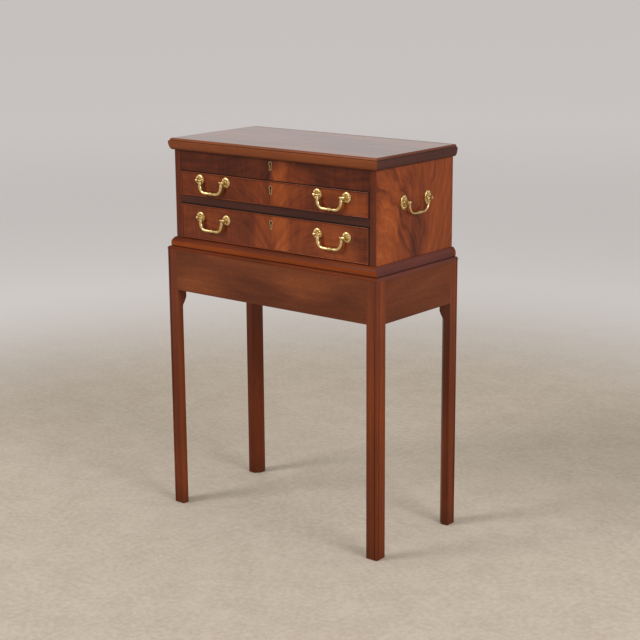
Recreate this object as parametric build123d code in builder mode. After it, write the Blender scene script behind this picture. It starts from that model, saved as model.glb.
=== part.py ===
from build123d import *
import math
import os

os.makedirs("parts", exist_ok=True)

# Silverware chest on its own four-legged stand, in millimetres.
# Z is up and Z = 0 is the floor. Y runs from the drawer fronts (low) to the back (high).

# Stand
stand_width = 635.0
stand_depth = 311.0
frame_height = 647.0
leg_size = 30.0
leg_chamfer = 12.5
leg_bead = 6.0
quirk_width = 1.2
quirk_depth = 1.6
foot_ease = 0.8
overrun = 1.0
apron_height = 99.0
apron_thick = 19.0
tongue_drop = 20.0
tongue_length = 25.0
tongue_end = 0.4
tenon_thick = 8.0
tenon_length = 13.0
tenon_shoulder = 12.0
block_reach = 42.0
block_height = 45.0
block_drop = 12.0

# Waist moulding: insets are measured inward from the stand's face
lip_height = 7.0
lip_inset = 5.4
recess_inset = 8.4
recess_height = 1.5
band_inset = 7.2
band_height = 11.2
band_bulge = 0.3
cap_step = 0.5
cap_bulge = 0.9
cap_height = 9.3
rim_flat = 2.4
rim_clearance = 0.5
ledge_thick = 8.5
ledge_width = 32.0

# Chest case
case_inset = 17.0
case_back_inset = 2.0
seat_gap = 0.3
side_thick = 18.0
back_thick = 12.0
back_rebate = 10.0
housing = 6.0
housing_stop = 6.0
rim_pass = 0.8
lower_opening = 84.2
rail_thick = 18.5
rail_depth = 62.0
upper_opening = 59.5
false_front_height = 47.7
front_thick = 19.0
well_floor_thick = 6.0
well_floor_lip = 4.5
runner_width = 36.0
dust_thick = 5.0
kicker_width = 18.0
stop_width = 40.0
stop_height = 4.5
stop_depth = 12.0
stop_inset = 110.0
edge_ease = 0.6

# Drawers
front_gap = 0.7
slide_gap = 0.3
drawer_side_thick = 9.5
drawer_back_thick = 9.0
drawer_back_gap = 6.0
drawer_bottom_thick = 5.0
drawer_bottom_raise = 7.5
groove_depth = 4.5
front_lap = 6.5
side_drop = 6.0
tail_slope = 2.2
tail_gap = 9.0
tail_margin = 1.5
back_drop = 3.0
bead_width = 3.2
bead_proud = 2.0
bead_depth = 5.5
bead_round = 1.4

# Flannel linings and the flatware dividers under flannel
lining_thick = 1.6
lining_gap = 0.3
glue_line = 0.1
lining_drop = 3.0
lining_below_back = 1.0
divider_thick = 7.0
divider_ease = 1.2
cross_slats = 3
well_divider_height = 26.0
drawer_divider_height = 30.0
well_front_tray = 88.0
drawer_front_tray = 80.0

# Locks
keyhole_bow = 3.2
keyhole_slot = 3.2
keyhole_drop = 12.4
keyhole_wall = 1.5
liner_depth = 4.0
lock_width = 50.0
lock_height = 34.0
lock_thick = 9.0
lock_corner = 3.0
plate_thick = 2.0
bolt_width = 18.0
bolt_thick = 4.6
bolt_height = 24.0
bolt_throw = 5.0
bolt_gap = 0.3
key_swing = 0.5
mortise_margin = 1.0
upper_key_height = 21.5
lower_key_height = 24.0
lid_key_height = 15.0
staple_width = 6.0
staple_thick = 3.0
staple_drop = 9.5
staple_web = 1.6
hook_length = 5.2
hook_thick = 2.4
hook_height = 3.6
hook_stem = 2.6
hook_gap = 0.5
box_wall = 1.2

# Lid
lid_thick = 27.4
lid_foot = 3.0
lid_overhang = 11.0
lid_belly = 19.6
lid_band = 2.2
lid_shoulder = 1.2
lid_quirk = 0.6
lid_quirk_inset = 3.2
lid_bead_inset = 7.2
lid_rail_reach = 24.0
panel_thick = 14.0
panel_inset = 8.6
back_strip = 5.0
pad_thick = 6.0
pad_round = 3.6

# Hinges on the back edge
hinge_length = 50.0
hinge_inset = 90.0
leaf_width = 11.0
leaf_thick = 1.2
barrel_diameter = 4.2
hinge_pin = 2.0
pin_clearance = 0.08
knuckle_gap = 0.3
barrel_gap = 0.3
knuckles = 5

# Swan-neck bail handles on the drawers
handle_centre = 178.5
upper_handle_height = 41.6
lower_handle_height = 55.3
post_spacing = 82.5
rosette_diameter = 25.0
rosette_thick = 3.0
rosette_edge = 1.1
rosette_dome = 0.95
rosette_dish = 0.6
dome_share = 0.72
dish_share = 0.48
boss_share = 0.38
post_neck = 5.6
eye_diameter = 9.0
eye_width = 5.0
post_reach = 9.5
shank_diameter = 4.0
shank_clearance = 0.1
nut_diameter = 9.0
nut_thick = 3.2
nut_clearance = 0.6
bail_pin = 4.0
arm_spacing = 67.0
bail_drop = 29.0
bail_bend = 17.0
arm_diameter = 5.2
bail_swell = 7.8
bail_waist = 5.6
knop_diameter = 9.2
knop_half = 4.4
knop_groove = 2.4
knop_bead = 1.1
bail_ball = 5.7
nub_diameter = 4.8
nub_reach = 3.4
pin_proud = 1.2

# Larger carrying handles on the ends of the case
carry_below_top = 81.7
carry_post_spacing = 91.0
carry_rosette_width = 24.0
carry_rosette_height = 34.0
carry_reach = 10.5
carry_arm_spacing = 72.0
carry_drop = 27.5
carry_bend = 20.0
carry_arm_diameter = 4.2
carry_grip = 7.4
carry_swell = 4.8

# Levels and faces worked out from the sizes above
barrel_radius = barrel_diameter / 2
axis_behind = barrel_gap + barrel_radius
knuckle_proud = axis_behind + barrel_radius - case_back_inset
stand_front = -(stand_depth + knuckle_proud) / 2
stand_back = stand_front + stand_depth
half_stand = stand_width / 2
apron_bottom = frame_height - apron_height

band_bottom = frame_height + lip_height + recess_height
band_top = band_bottom + band_height
rim_top = band_top + cap_height

chest_floor = frame_height + ledge_thick + seat_gap
half_case = half_stand - case_inset
half_open = half_case - side_thick
case_front = stand_front + case_inset
housed_front = case_front + housing_stop
case_back = stand_back - case_back_inset
back_face = case_back - back_thick
carry_y = (case_front + case_back) / 2
bottom_top = rim_top + rim_pass
rail_bottom = bottom_top + lower_opening
rail_top = rail_bottom + rail_thick
well_bottom = rail_top + upper_opening
case_top = well_bottom + false_front_height
carry_height = case_top - carry_below_top
false_back = case_front + front_thick
well_floor = well_bottom + well_floor_lip
well_floor_top = well_floor + well_floor_thick

lid_bottom = case_top + seat_gap
lid_top = lid_bottom + lid_thick
lid_back = stand_back
half_lid = half_case + lid_overhang
lid_front = case_front - lid_overhang
panel_bottom = lid_top - panel_thick

axis_y = case_back + axis_behind
axis_z = (case_top + lid_bottom) / 2

bolt_end_room = plate_thick + bolt_gap + hook_stem + hook_length + hook_gap
staple_spacing = lock_width - 2 * bolt_end_room - staple_thick

knuckle_bore = hinge_pin + 2 * pin_clearance
eye_bore = bail_pin + 2 * pin_clearance

drawer_half = half_open - front_gap
drawer_back = back_face - drawer_back_gap
front_back = case_front + front_thick
drawer_bolt_y = front_back - (lock_thick + plate_thick) / 2
lid_bolt_y = false_back - lock_thick / 2


def block(x, y, z, mode=Mode.ADD):
    """A board or a cut between two values along each axis."""
    with Locations(((x[0] + x[1]) / 2, (y[0] + y[1]) / 2, (z[0] + z[1]) / 2)):
        Box(x[1] - x[0], y[1] - y[0], z[1] - z[0], mode=mode)


def facing_front(y):
    """Plane at a given y that looks towards the front, with x to the right and z up."""
    return Plane.XZ.offset(-y)


def save(part, name):
    part.label = name
    export_step(part, f"parts/{name}.step")


def mirrored(part, *planes):
    for plane in planes:
        part = part.mirror(plane)
    return part


# The stand is symmetrical front to back about this plane
stand_middle = Plane.XZ.offset(-(stand_front + stand_back) / 2)


# Legs: a beaded outer corner and a chamfered inner corner that ends in a lamb's tongue
def make_leg():
    corner = Location((-half_stand, stand_front, 0))
    inner = Plane(
        origin=(-half_stand + leg_size, stand_front + leg_size, 0),
        x_dir=(1, 1, 0),
        z_dir=(1, -1, 0),
    )
    cut_depth = leg_chamfer / math.sqrt(2)
    tongue_top = apron_bottom - tongue_drop
    tongue_foot = tongue_top - tongue_length
    tongue_middle = (tongue_top + tongue_foot) / 2
    with BuildPart() as leg:
        with BuildSketch():
            with Locations(corner):
                Rectangle(leg_size, leg_size, align=Align.MIN)
                Rectangle(leg_bead / 2, leg_bead / 2, align=Align.MIN, mode=Mode.SUBTRACT)
                with Locations((leg_bead / 2, leg_bead / 2)):
                    Circle(leg_bead / 2)
                with Locations((leg_bead, 0)):
                    Rectangle(quirk_width, quirk_depth, align=Align.MIN, mode=Mode.SUBTRACT)
                with Locations((0, leg_bead)):
                    Rectangle(quirk_depth, quirk_width, align=Align.MIN, mode=Mode.SUBTRACT)
        extrude(amount=frame_height)
        with BuildSketch(inner):
            with BuildLine():
                foot_line = Line((-cut_depth, -overrun), (-cut_depth, tongue_foot))
                hollow = Spline(
                    foot_line @ 1,
                    (-cut_depth / 2, tongue_middle),
                    (tongue_end, tongue_top),
                    tangents=((0, 1), (tongue_end, 1)),
                )
                Polyline(hollow @ 1, (leg_size, tongue_top), (leg_size, -overrun), foot_line @ 0)
            make_face()
        extrude(amount=leg_size, both=True, mode=Mode.SUBTRACT)
        for along_x in (True, False):
            apron_tenon(along_x, mode=Mode.SUBTRACT)
        chamfer(leg.faces().sort_by(Axis.Z)[0].edges(), foot_ease)
    return leg.part


def apron_tenon(along_x, mode):
    """Tenon of a front or side apron into the front left leg, or its mortise."""
    outside = (apron_thick - tenon_thick) / 2
    across = (outside, outside + tenon_thick)
    along = (leg_size - tenon_length, leg_size)
    height = (apron_bottom + tenon_shoulder, frame_height - tenon_shoulder)
    x, y = (along, across) if along_x else (across, along)
    block(
        (-half_stand + x[0], -half_stand + x[1]),
        (stand_front + y[0], stand_front + y[1]),
        height,
        mode,
    )


leg_front_left = make_leg()
leg_front_right = mirrored(leg_front_left, Plane.YZ)
leg_back_left = mirrored(leg_front_left, stand_middle)
leg_back_right = mirrored(leg_front_left, Plane.YZ, stand_middle)
save(leg_front_left, "leg_front_left")
save(leg_front_right, "leg_front_right")
save(leg_back_left, "leg_back_left")
save(leg_back_right, "leg_back_right")


# Aprons: boards flush with the legs, tenoned at both ends
def make_long_apron():
    with BuildPart() as apron:
        block(
            (-half_stand + leg_size, half_stand - leg_size),
            (stand_front, stand_front + apron_thick),
            (apron_bottom, frame_height),
        )
        chamfer(apron.faces().sort_by(Axis.Z)[0].edges().filter_by(Axis.X), foot_ease)
        apron_tenon(True, Mode.ADD)
        mirror(about=Plane.YZ)
    return apron.part


def make_short_apron():
    with BuildPart() as apron:
        block(
            (-half_stand, -half_stand + apron_thick),
            (stand_front + leg_size, stand_back - leg_size),
            (apron_bottom, frame_height),
        )
        chamfer(apron.faces().sort_by(Axis.Z)[0].edges().filter_by(Axis.Y), foot_ease)
        apron_tenon(False, Mode.ADD)
        mirror(about=stand_middle)
    return apron.part


apron_front = make_long_apron()
apron_back = mirrored(apron_front, stand_middle)
apron_left = make_short_apron()
apron_right = mirrored(apron_left, Plane.YZ)
save(apron_front, "apron_front")
save(apron_back, "apron_back")
save(apron_left, "apron_left")
save(apron_right, "apron_right")

# Corner blocks: glued behind each leg, notched round its inner corner
block_top = frame_height - block_drop
with BuildPart() as corner_block:
    with BuildSketch(Plane.XY.offset(block_top - block_height)):
        with BuildLine():
            Polyline(
                (-half_stand + apron_thick, stand_front + leg_size),
                (-half_stand + leg_size, stand_front + leg_size),
                (-half_stand + leg_size, stand_front + apron_thick),
                (-half_stand + leg_size + block_reach, stand_front + apron_thick),
                (-half_stand + apron_thick, stand_front + leg_size + block_reach),
                close=True,
            )
        make_face()
    extrude(amount=block_height)
    mirror(about=Plane.YZ)
    mirror(about=stand_middle)
save(corner_block.part, "corner_blocks")


# Waist moulding: lip, shadow recess, band and sloped cap, with the ledge the chest stands on
def moulding_profile(plane):
    with BuildSketch(plane) as profile:
        with BuildLine():
            EllipticalCenterArc((lip_inset, frame_height), lip_inset, lip_height, 90, arc_size=90)
            Polyline(
                (lip_inset, frame_height + lip_height),
                (recess_inset, frame_height + lip_height),
                (recess_inset, band_bottom),
                (band_inset, band_bottom),
            )
            ThreePointArc(
                (band_inset, band_bottom),
                (band_inset - band_bulge, (band_bottom + band_top) / 2),
                (band_inset, band_top),
            )
            Line((band_inset, band_top), (band_inset + cap_step, band_top))
            rim_inner = case_inset - rim_clearance
            cap_end = rim_inner - rim_flat
            cap_start = band_inset + cap_step
            cap_middle = (cap_start + cap_end) / 2 - cap_bulge
            ThreePointArc(
                (cap_start, band_top),
                (cap_middle, (band_top + rim_top) / 2),
                (cap_end, rim_top),
            )
            Polyline(
                (cap_end, rim_top),
                (rim_inner, rim_top),
                (rim_inner, frame_height + ledge_thick),
                (ledge_width, frame_height + ledge_thick),
                (ledge_width, frame_height),
                (0, frame_height),
            )
        make_face()
    return profile.sketch


front_profile_plane = Plane(
    origin=(-half_stand, stand_front, 0), x_dir=(0, 1, 0), z_dir=(1, 0, 0)
)
side_profile_plane = Plane(
    origin=(-half_stand, stand_front, 0), x_dir=(1, 0, 0), z_dir=(0, -1, 0)
)
left_mitre = Plane(origin=(-half_stand, stand_front, 0), x_dir=(0, 0, 1), z_dir=(1, -1, 0))

with BuildPart() as front_run:
    extrude(moulding_profile(front_profile_plane), amount=half_stand)
    split(bisect_by=left_mitre, keep=Keep.TOP)
    mirror(about=Plane.YZ)
with BuildPart() as left_run:
    extrude(moulding_profile(side_profile_plane), amount=-stand_depth)
    split(bisect_by=left_mitre, keep=Keep.BOTTOM)
with BuildPart() as back_strip_run:
    block(
        (-half_stand + ledge_width, half_stand - ledge_width),
        (stand_back - ledge_width, stand_back),
        (frame_height, frame_height + ledge_thick),
    )
right_run = mirrored(left_run.part, Plane.YZ)
waist_moulding = Compound(
    children=[
        front_run.part.solid(),
        left_run.part.solid(),
        right_run.solid(),
        back_strip_run.part.solid(),
    ]
)
save(waist_moulding, "waist_moulding")


def post_hole(inner_end, turn, board):
    """Hole through a board for a handle post's shank, with a pocket for its nut."""
    with Locations(Location(inner_end, turn)):
        Cylinder(shank_diameter / 2 + shank_clearance, 3 * board, mode=Mode.SUBTRACT)
        Cylinder(
            nut_diameter / 2 + nut_clearance, 2 * (nut_thick + nut_clearance), mode=Mode.SUBTRACT
        )


# Case sides: rebated for the back and housed for everything that spans between them
with BuildPart() as case_side:
    block((-half_case, -half_open), (case_front, case_back), (chest_floor, case_top))
    outer_edges = case_side.edges().filter_by(Axis.Z).group_by(Axis.X)[0]
    chamfer(outer_edges.sort_by(Axis.Y)[0], edge_ease)
    block(
        (-half_case + side_thick - back_rebate, -half_open),
        (back_face, case_back),
        (chest_floor, case_top),
        Mode.SUBTRACT,
    )
    housed_x = (-half_open - housing, -half_open)
    block(housed_x, (housed_front, back_face), (chest_floor, bottom_top), Mode.SUBTRACT)
    block(housed_x, (housed_front, back_face), (rail_bottom, rail_top), Mode.SUBTRACT)
    block(housed_x, (false_back, back_face), (well_floor, well_floor_top), Mode.SUBTRACT)
    block(housed_x, (housed_front, false_back), (well_bottom, case_top), Mode.SUBTRACT)
    for offset in (-carry_post_spacing / 2, carry_post_spacing / 2):
        post_hole((-half_open, carry_y + offset, carry_height), (0, 90, 0), side_thick)
case_side_left = case_side.part
case_side_right = mirrored(case_side_left, Plane.YZ)
save(case_side_left, "case_side_left")
save(case_side_right, "case_side_right")

# Boards that span the case: their ends are housed in the sides, short of the front edge
full_half = half_open + housing


def spanning_board(y, z):
    block((-half_open, half_open), (y[0], housed_front), z)
    block((-full_half, full_half), (housed_front, y[1]), z)


# Case bottom, rail between the drawers, runners behind it and the dust panel they hold
with BuildPart() as case_bottom:
    spanning_board((case_front, back_face), (chest_floor, bottom_top))
save(case_bottom.part, "case_bottom")

dust_bottom = (rail_bottom + rail_top - dust_thick) / 2
dust_edges = (case_front + rail_depth - housing, back_face)
dust_half = half_open - runner_width + housing


def dust_panel_space(mode):
    block((-dust_half, dust_half), dust_edges, (dust_bottom, dust_bottom + dust_thick), mode)


def bolt_mortise(level):
    """Mortise above a drawer for its lock's bolt."""
    half_x = bolt_width / 2 + mortise_margin
    half_y = bolt_thick / 2 + mortise_margin
    block(
        (-half_x, half_x),
        (drawer_bolt_y - half_y, drawer_bolt_y + half_y),
        (level, level + bolt_throw + mortise_margin),
        Mode.SUBTRACT,
    )


with BuildPart() as drawer_rail:
    spanning_board((case_front, case_front + rail_depth), (rail_bottom, rail_top))
    dust_panel_space(Mode.SUBTRACT)
    bolt_mortise(rail_bottom)
save(drawer_rail.part, "drawer_rail")

with BuildPart() as runner:
    block(
        (-full_half, -half_open + runner_width),
        (case_front + rail_depth, back_face),
        (rail_bottom, rail_top),
    )
    dust_panel_space(Mode.SUBTRACT)
    mirror(about=Plane.YZ)
save(runner.part, "drawer_runners")

with BuildPart() as dust_panel:
    dust_panel_space(Mode.ADD)
save(dust_panel.part, "dust_panel")

# Drawer stops: blocks glued behind the drawer fronts, low enough for the drawer bottoms to pass
with BuildPart() as stops:
    for level in (bottom_top, rail_top):
        for side in (-1, 1):
            middle = side * (half_open - stop_inset)
            block(
                (middle - stop_width / 2, middle + stop_width / 2),
                (front_back + slide_gap, front_back + slide_gap + stop_depth),
                (level, level + stop_height),
            )
save(stops.part, "drawer_stops")

# Case back
with BuildPart() as case_back_panel:
    panel_half = half_case - side_thick + back_rebate
    block((-panel_half, panel_half), (back_face, case_back), (chest_floor, case_top))
    for side in (-1, 1):
        middle = side * (half_case - hinge_inset)
        block(
            (middle - hinge_length / 2, middle + hinge_length / 2),
            (case_back - leaf_width, case_back),
            (case_top - leaf_thick, case_top),
            Mode.SUBTRACT,
        )
save(case_back_panel.part, "case_back")

def floor_tongue(mode):
    """Front edge of the well floor, housed in the back of the false front."""
    block(
        (-half_open, half_open),
        (false_back - housing, false_back),
        (well_floor, well_floor_top),
        mode,
    )


# Well floor and the kickers under it that keep the upper drawer level
with BuildPart() as floor_panel:
    block((-full_half, full_half), (false_back, back_face), (well_floor, well_floor_top))
    floor_tongue(Mode.ADD)
save(floor_panel.part, "well_floor")

with BuildPart() as kickers:
    block(
        (-half_open, -half_open + kicker_width),
        (false_back, back_face),
        (well_bottom, well_floor),
    )
    mirror(about=Plane.YZ)
save(kickers.part, "drawer_kickers")


# Keyholes: a round bow over a straight slot with a round foot
def keyhole(bow_z, grow=0.0, mode=Mode.ADD):
    with Locations((0, bow_z)):
        Circle(keyhole_bow + grow, mode=mode)
    with Locations((0, bow_z - keyhole_drop / 2)):
        Rectangle(keyhole_slot + 2 * grow, keyhole_drop, mode=mode)
    with Locations((0, bow_z - keyhole_drop)):
        Circle(keyhole_slot / 2 + grow, mode=mode)


def key_bow_level(top, backset):
    """Height of the keyhole's bow when the whole hole is centred below the top edge."""
    return top - backset + (keyhole_drop + keyhole_slot / 2 - keyhole_bow) / 2


def cut_keyhole(front_y, bow_z, through):
    with BuildSketch(facing_front(front_y)) as liner_seat:
        keyhole(bow_z, keyhole_wall)
    extrude(liner_seat.sketch, amount=-liner_depth, mode=Mode.SUBTRACT)
    with BuildSketch(facing_front(front_y)) as key_way:
        keyhole(bow_z)
    extrude(key_way.sketch, amount=-through, mode=Mode.SUBTRACT)


def make_liner(front_y, bow_z):
    with BuildPart() as liner:
        with BuildSketch(facing_front(front_y)):
            keyhole(bow_z, keyhole_wall)
            keyhole(bow_z, mode=Mode.SUBTRACT)
        extrude(amount=-liner_depth)
    return liner.part.solid()


# Locks are let in from the back of a front, up to a top plate that lies flush with its edge
def lock_space(y_back, top, mode):
    block(
        (-lock_width / 2, lock_width / 2),
        (y_back - lock_thick, y_back),
        (top - lock_height, top),
        mode,
    )


def make_lock(front_y, y_back, top, bow_z):
    """Drawer lock: a brass case with a slot in its top for the bolt, and the keyhole liner."""
    with BuildPart() as lock:
        lock_space(y_back, top, Mode.ADD)
        fillet(lock.faces().sort_by(Axis.Z)[0].edges().filter_by(Axis.Y), lock_corner)
        slot_x = bolt_width / 2 + bolt_gap
        slot_y = bolt_thick / 2 + bolt_gap
        block(
            (-slot_x, slot_x),
            (drawer_bolt_y - slot_y, drawer_bolt_y + slot_y),
            (top - bolt_height - bolt_gap, top),
            Mode.SUBTRACT,
        )
        with BuildSketch(facing_front(y_back - lock_thick)):
            keyhole(bow_z)
        extrude(amount=-(lock_thick - plate_thick), mode=Mode.SUBTRACT)
    with BuildPart() as bolt:
        block(
            (-bolt_width / 2, bolt_width / 2),
            (drawer_bolt_y - bolt_thick / 2, drawer_bolt_y + bolt_thick / 2),
            (top - bolt_height, top - bolt_gap),
        )
        with BuildSketch(facing_front(y_back - lock_thick)):
            with Locations((0, bow_z - keyhole_drop / 2)):
                SlotOverall(
                    keyhole_drop + 2 * bolt_throw, 2 * (keyhole_bow + key_swing), rotation=90
                )
        extrude(amount=-lock_thick, mode=Mode.SUBTRACT)
    pair = Compound(children=[lock.part.solid(), make_liner(front_y, bow_z)])
    return pair, bolt.part


# False front of the lid well, with the lid's box lock let into its back
lid_bow = key_bow_level(case_top, lid_key_height)
with BuildPart() as false_front:
    spanning_board((case_front, false_back), (well_bottom, case_top))
    floor_tongue(Mode.SUBTRACT)
    lock_space(false_back, case_top, Mode.SUBTRACT)
    cut_keyhole(case_front, lid_bow, front_thick)
    bolt_mortise(well_bottom)
save(false_front.part, "false_front")


# Box lock: two slots in its top plate take the staples of the lid's link plate
def staple_space(grow, z):
    """Places of the two staples on the link plate, or of the slots that take them."""
    for side in (-1, 1):
        middle = side * staple_spacing / 2
        yield (
            (middle - staple_thick / 2 - grow, middle + staple_thick / 2 + grow),
            (lid_bolt_y - staple_width / 2 - grow, lid_bolt_y + staple_width / 2 + grow),
            z,
        )


staple_tip = lid_bottom - staple_drop
eye_foot = staple_tip + staple_web
eye_crown = eye_foot + hook_height + 2 * hook_gap
cavity_foot = staple_tip - hook_gap - hook_stem - bolt_gap
with BuildPart() as box_lock:
    lock_space(false_back, case_top, Mode.ADD)
    fillet(box_lock.faces().sort_by(Axis.Z)[0].edges().filter_by(Axis.Y), lock_corner)
    block(
        (-lock_width / 2 + plate_thick, lock_width / 2 - plate_thick),
        (false_back - lock_thick + box_wall, false_back - box_wall),
        (cavity_foot, case_top - plate_thick),
        Mode.SUBTRACT,
    )
    for slot in staple_space(bolt_gap, (case_top - plate_thick, case_top)):
        block(*slot, Mode.SUBTRACT)
    with BuildSketch(facing_front(false_back - lock_thick)):
        keyhole(lid_bow)
    extrude(amount=-(lock_thick - plate_thick), mode=Mode.SUBTRACT)
lid_lock = Compound(children=[box_lock.part.solid(), make_liner(case_front, lid_bow)])
save(lid_lock, "lid_lock")

# Link plate in the lid: two staples with eyes that the bolt's hooks slide through
with BuildPart() as link_plate:
    block(
        (-lock_width / 2, lock_width / 2),
        (false_back - lock_thick, false_back),
        (lid_bottom, lid_bottom + plate_thick),
    )
    for staple in staple_space(0, (staple_tip, lid_bottom)):
        block(*staple)
    block(
        (-lock_width / 2, lock_width / 2),
        (lid_bolt_y - hook_thick / 2 - hook_gap, lid_bolt_y + hook_thick / 2 + hook_gap),
        (eye_foot, eye_crown),
        Mode.SUBTRACT,
    )
save(link_plate.part, "lid_link_plate")

# Sliding bolt of the lid lock: a bar under the staples with a hook waiting beside each eye
hook_y = (lid_bolt_y - hook_thick / 2, lid_bolt_y + hook_thick / 2)
bar_z = (staple_tip - hook_gap - hook_stem, staple_tip - hook_gap)
with BuildPart() as lid_bolt:
    hook_tips = [
        side * staple_spacing / 2 - staple_thick / 2 - hook_gap for side in (-1, 1)
    ]
    block((hook_tips[0] - hook_length - hook_stem, hook_tips[1] - hook_length), hook_y, bar_z)
    for tip in hook_tips:
        stem = tip - hook_length
        block((stem - hook_stem, stem), hook_y, (bar_z[1], eye_crown - hook_gap))
        block((stem, tip), hook_y, (eye_foot + hook_gap, eye_crown - hook_gap))
save(lid_bolt.part, "lid_lock_bolt")


# Lid frame: moulded front and side rails, mitred, and a plain back rail
def lid_profile(plane):
    """Section with x measured outward from the case wall and y up from the lid's underside."""
    crown = lid_overhang - lid_quirk_inset
    bead_top = lid_overhang - lid_bead_inset
    with BuildSketch(plane) as profile:
        with BuildLine():
            Polyline(
                (lid_foot, 0),
                (-lid_rail_reach, 0),
                (-lid_rail_reach, lid_thick - panel_thick),
                (lid_overhang - panel_inset, lid_thick - panel_thick),
                (lid_overhang - panel_inset, lid_thick),
                (bead_top, lid_thick),
            )
            bead_foot = lid_belly + lid_band + lid_quirk
            EllipticalCenterArc(
                (bead_top, bead_foot), crown - bead_top, lid_thick - bead_foot, 0, arc_size=90
            )
            Line((crown, bead_foot), (crown, lid_belly + lid_band))
            shoulder = lid_belly + lid_band - lid_shoulder
            EllipticalCenterArc(
                (crown, shoulder), lid_quirk_inset, lid_shoulder, 0, arc_size=90
            )
            Line((lid_overhang, shoulder), (lid_overhang, lid_belly))
            foot_sweep = lid_overhang - lid_foot
            EllipticalCenterArc((lid_foot, lid_belly), foot_sweep, lid_belly, 270, arc_size=90)
        make_face()
    return profile.sketch


lid_front_plane = Plane(origin=(0, case_front, lid_bottom), x_dir=(0, -1, 0), z_dir=(-1, 0, 0))
lid_side_plane = Plane(origin=(-half_case, lid_back, lid_bottom), x_dir=(-1, 0, 0), z_dir=(0, 1, 0))
lid_mitre = Plane(origin=(-half_case, case_front, 0), x_dir=(0, 0, 1), z_dir=(1, -1, 0))
strip_front = lid_back - back_strip
back_rail_front = case_back - lid_rail_reach - side_thick / 2

with BuildPart() as lid_front_rail:
    extrude(lid_profile(lid_front_plane), amount=half_lid)
    split(bisect_by=lid_mitre, keep=Keep.TOP)
    mirror(about=Plane.YZ)
    block(
        (-lock_width / 2, lock_width / 2),
        (false_back - lock_thick, false_back),
        (lid_bottom, lid_bottom + plate_thick),
        Mode.SUBTRACT,
    )
with BuildPart() as lid_left_rail:
    extrude(lid_profile(lid_side_plane), amount=-(lid_back - lid_front))
    split(bisect_by=lid_mitre, keep=Keep.BOTTOM)
with BuildPart() as lid_back_rail:
    rail_half = half_case - lid_rail_reach
    block((-rail_half, rail_half), (back_rail_front, lid_back), (lid_bottom, panel_bottom))
    strip_half = half_lid - panel_inset
    block((-strip_half, strip_half), (strip_front, lid_back), (panel_bottom, lid_top))
    for side in (-1, 1):
        middle = side * (half_case - hinge_inset)
        hinge_x = (middle - hinge_length / 2, middle + hinge_length / 2)
        block(
            hinge_x,
            (case_back - leaf_width, case_back),
            (lid_bottom, lid_bottom + leaf_thick),
            Mode.SUBTRACT,
        )
        block(
            hinge_x,
            (case_back, lid_back),
            (lid_bottom, axis_z + barrel_radius + barrel_gap),
            Mode.SUBTRACT,
        )
lid_right_rail = mirrored(lid_left_rail.part, Plane.YZ)
lid_frame = Compound(
    children=[
        lid_front_rail.part.solid(),
        lid_left_rail.part.solid(),
        lid_right_rail.solid(),
        lid_back_rail.part.solid(),
    ]
)
save(lid_frame, "lid_frame")

with BuildPart() as lid_panel:
    block(
        (-half_lid + panel_inset, half_lid - panel_inset),
        (lid_front + panel_inset, strip_front),
        (panel_bottom, lid_top),
    )
save(lid_panel.part, "lid_panel")

# Padded lining under the lid panel, rounded at its lower edges
pad_half = half_case - lid_rail_reach - lining_gap
pad_front = case_front + lid_rail_reach + lining_gap
pad_back = back_rail_front - lining_gap
with BuildPart() as lid_lining:
    block(
        (-pad_half, pad_half),
        (pad_front, pad_back),
        (panel_bottom - pad_thick, panel_bottom - glue_line),
    )
    fillet(lid_lining.faces().sort_by(Axis.Z)[0].edges(), pad_round)
save(lid_lining.part, "lid_lining")


# Butt hinges: knuckles alternate along each pin, the odd ones on the case
def knuckle_spans(hinge_middle, first, last):
    pitch = hinge_length / knuckles
    start = hinge_middle - hinge_length / 2
    return [
        (start + n * pitch + knuckle_gap / 2, start + (n + 1) * pitch - knuckle_gap / 2)
        for n in range(first, last, 2)
    ]


def barrel_piece(span, diameter, mode=Mode.ADD):
    with Locations(Location(((span[0] + span[1]) / 2, axis_y, axis_z), (0, 90, 0))):
        Cylinder(diameter / 2, span[1] - span[0], mode=mode)


def make_leaf(side, on_lid):
    middle = side * (half_case - hinge_inset)
    spans = knuckle_spans(middle, 1 if on_lid else 0, knuckles)
    leaf_z = (lid_bottom, lid_bottom + leaf_thick) if on_lid else (case_top - leaf_thick, case_top)
    with BuildPart() as leaf:
        block(
            (middle - hinge_length / 2, middle + hinge_length / 2),
            (case_back - leaf_width, case_back),
            leaf_z,
        )
        for span in spans:
            block(span, (case_back - leaf_thick, axis_y), leaf_z)
            barrel_piece(span, barrel_diameter)
        if on_lid:
            barrel_piece((middle - hinge_length, middle + hinge_length), knuckle_bore, Mode.SUBTRACT)
        else:
            barrel_piece((spans[0][0], spans[-1][1]), hinge_pin)
    return leaf.part.solid()


save(Compound(children=[make_leaf(-1, False), make_leaf(1, False)]), "case_hinge_leaves")
save(Compound(children=[make_leaf(-1, True), make_leaf(1, True)]), "lid_hinge_leaves")


# Flannel linings: a floor and four walls of cloth glued inside a space
def make_lining(half_x, y, z):
    x = (-half_x + lining_gap, half_x - lining_gap)
    y = (y[0] + lining_gap, y[1] - lining_gap)
    z = (z[0] + glue_line, z[1])
    with BuildPart() as lining:
        block(x, y, z)
        block(
            (x[0] + lining_thick, x[1] - lining_thick),
            (y[0] + lining_thick, y[1] - lining_thick),
            (z[0] + lining_thick, z[1] + overrun),
            Mode.SUBTRACT,
        )
    return lining.part


save(
    make_lining(half_open, (false_back, back_face), (well_floor_top, case_top - lining_drop)),
    "well_lining",
)


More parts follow.
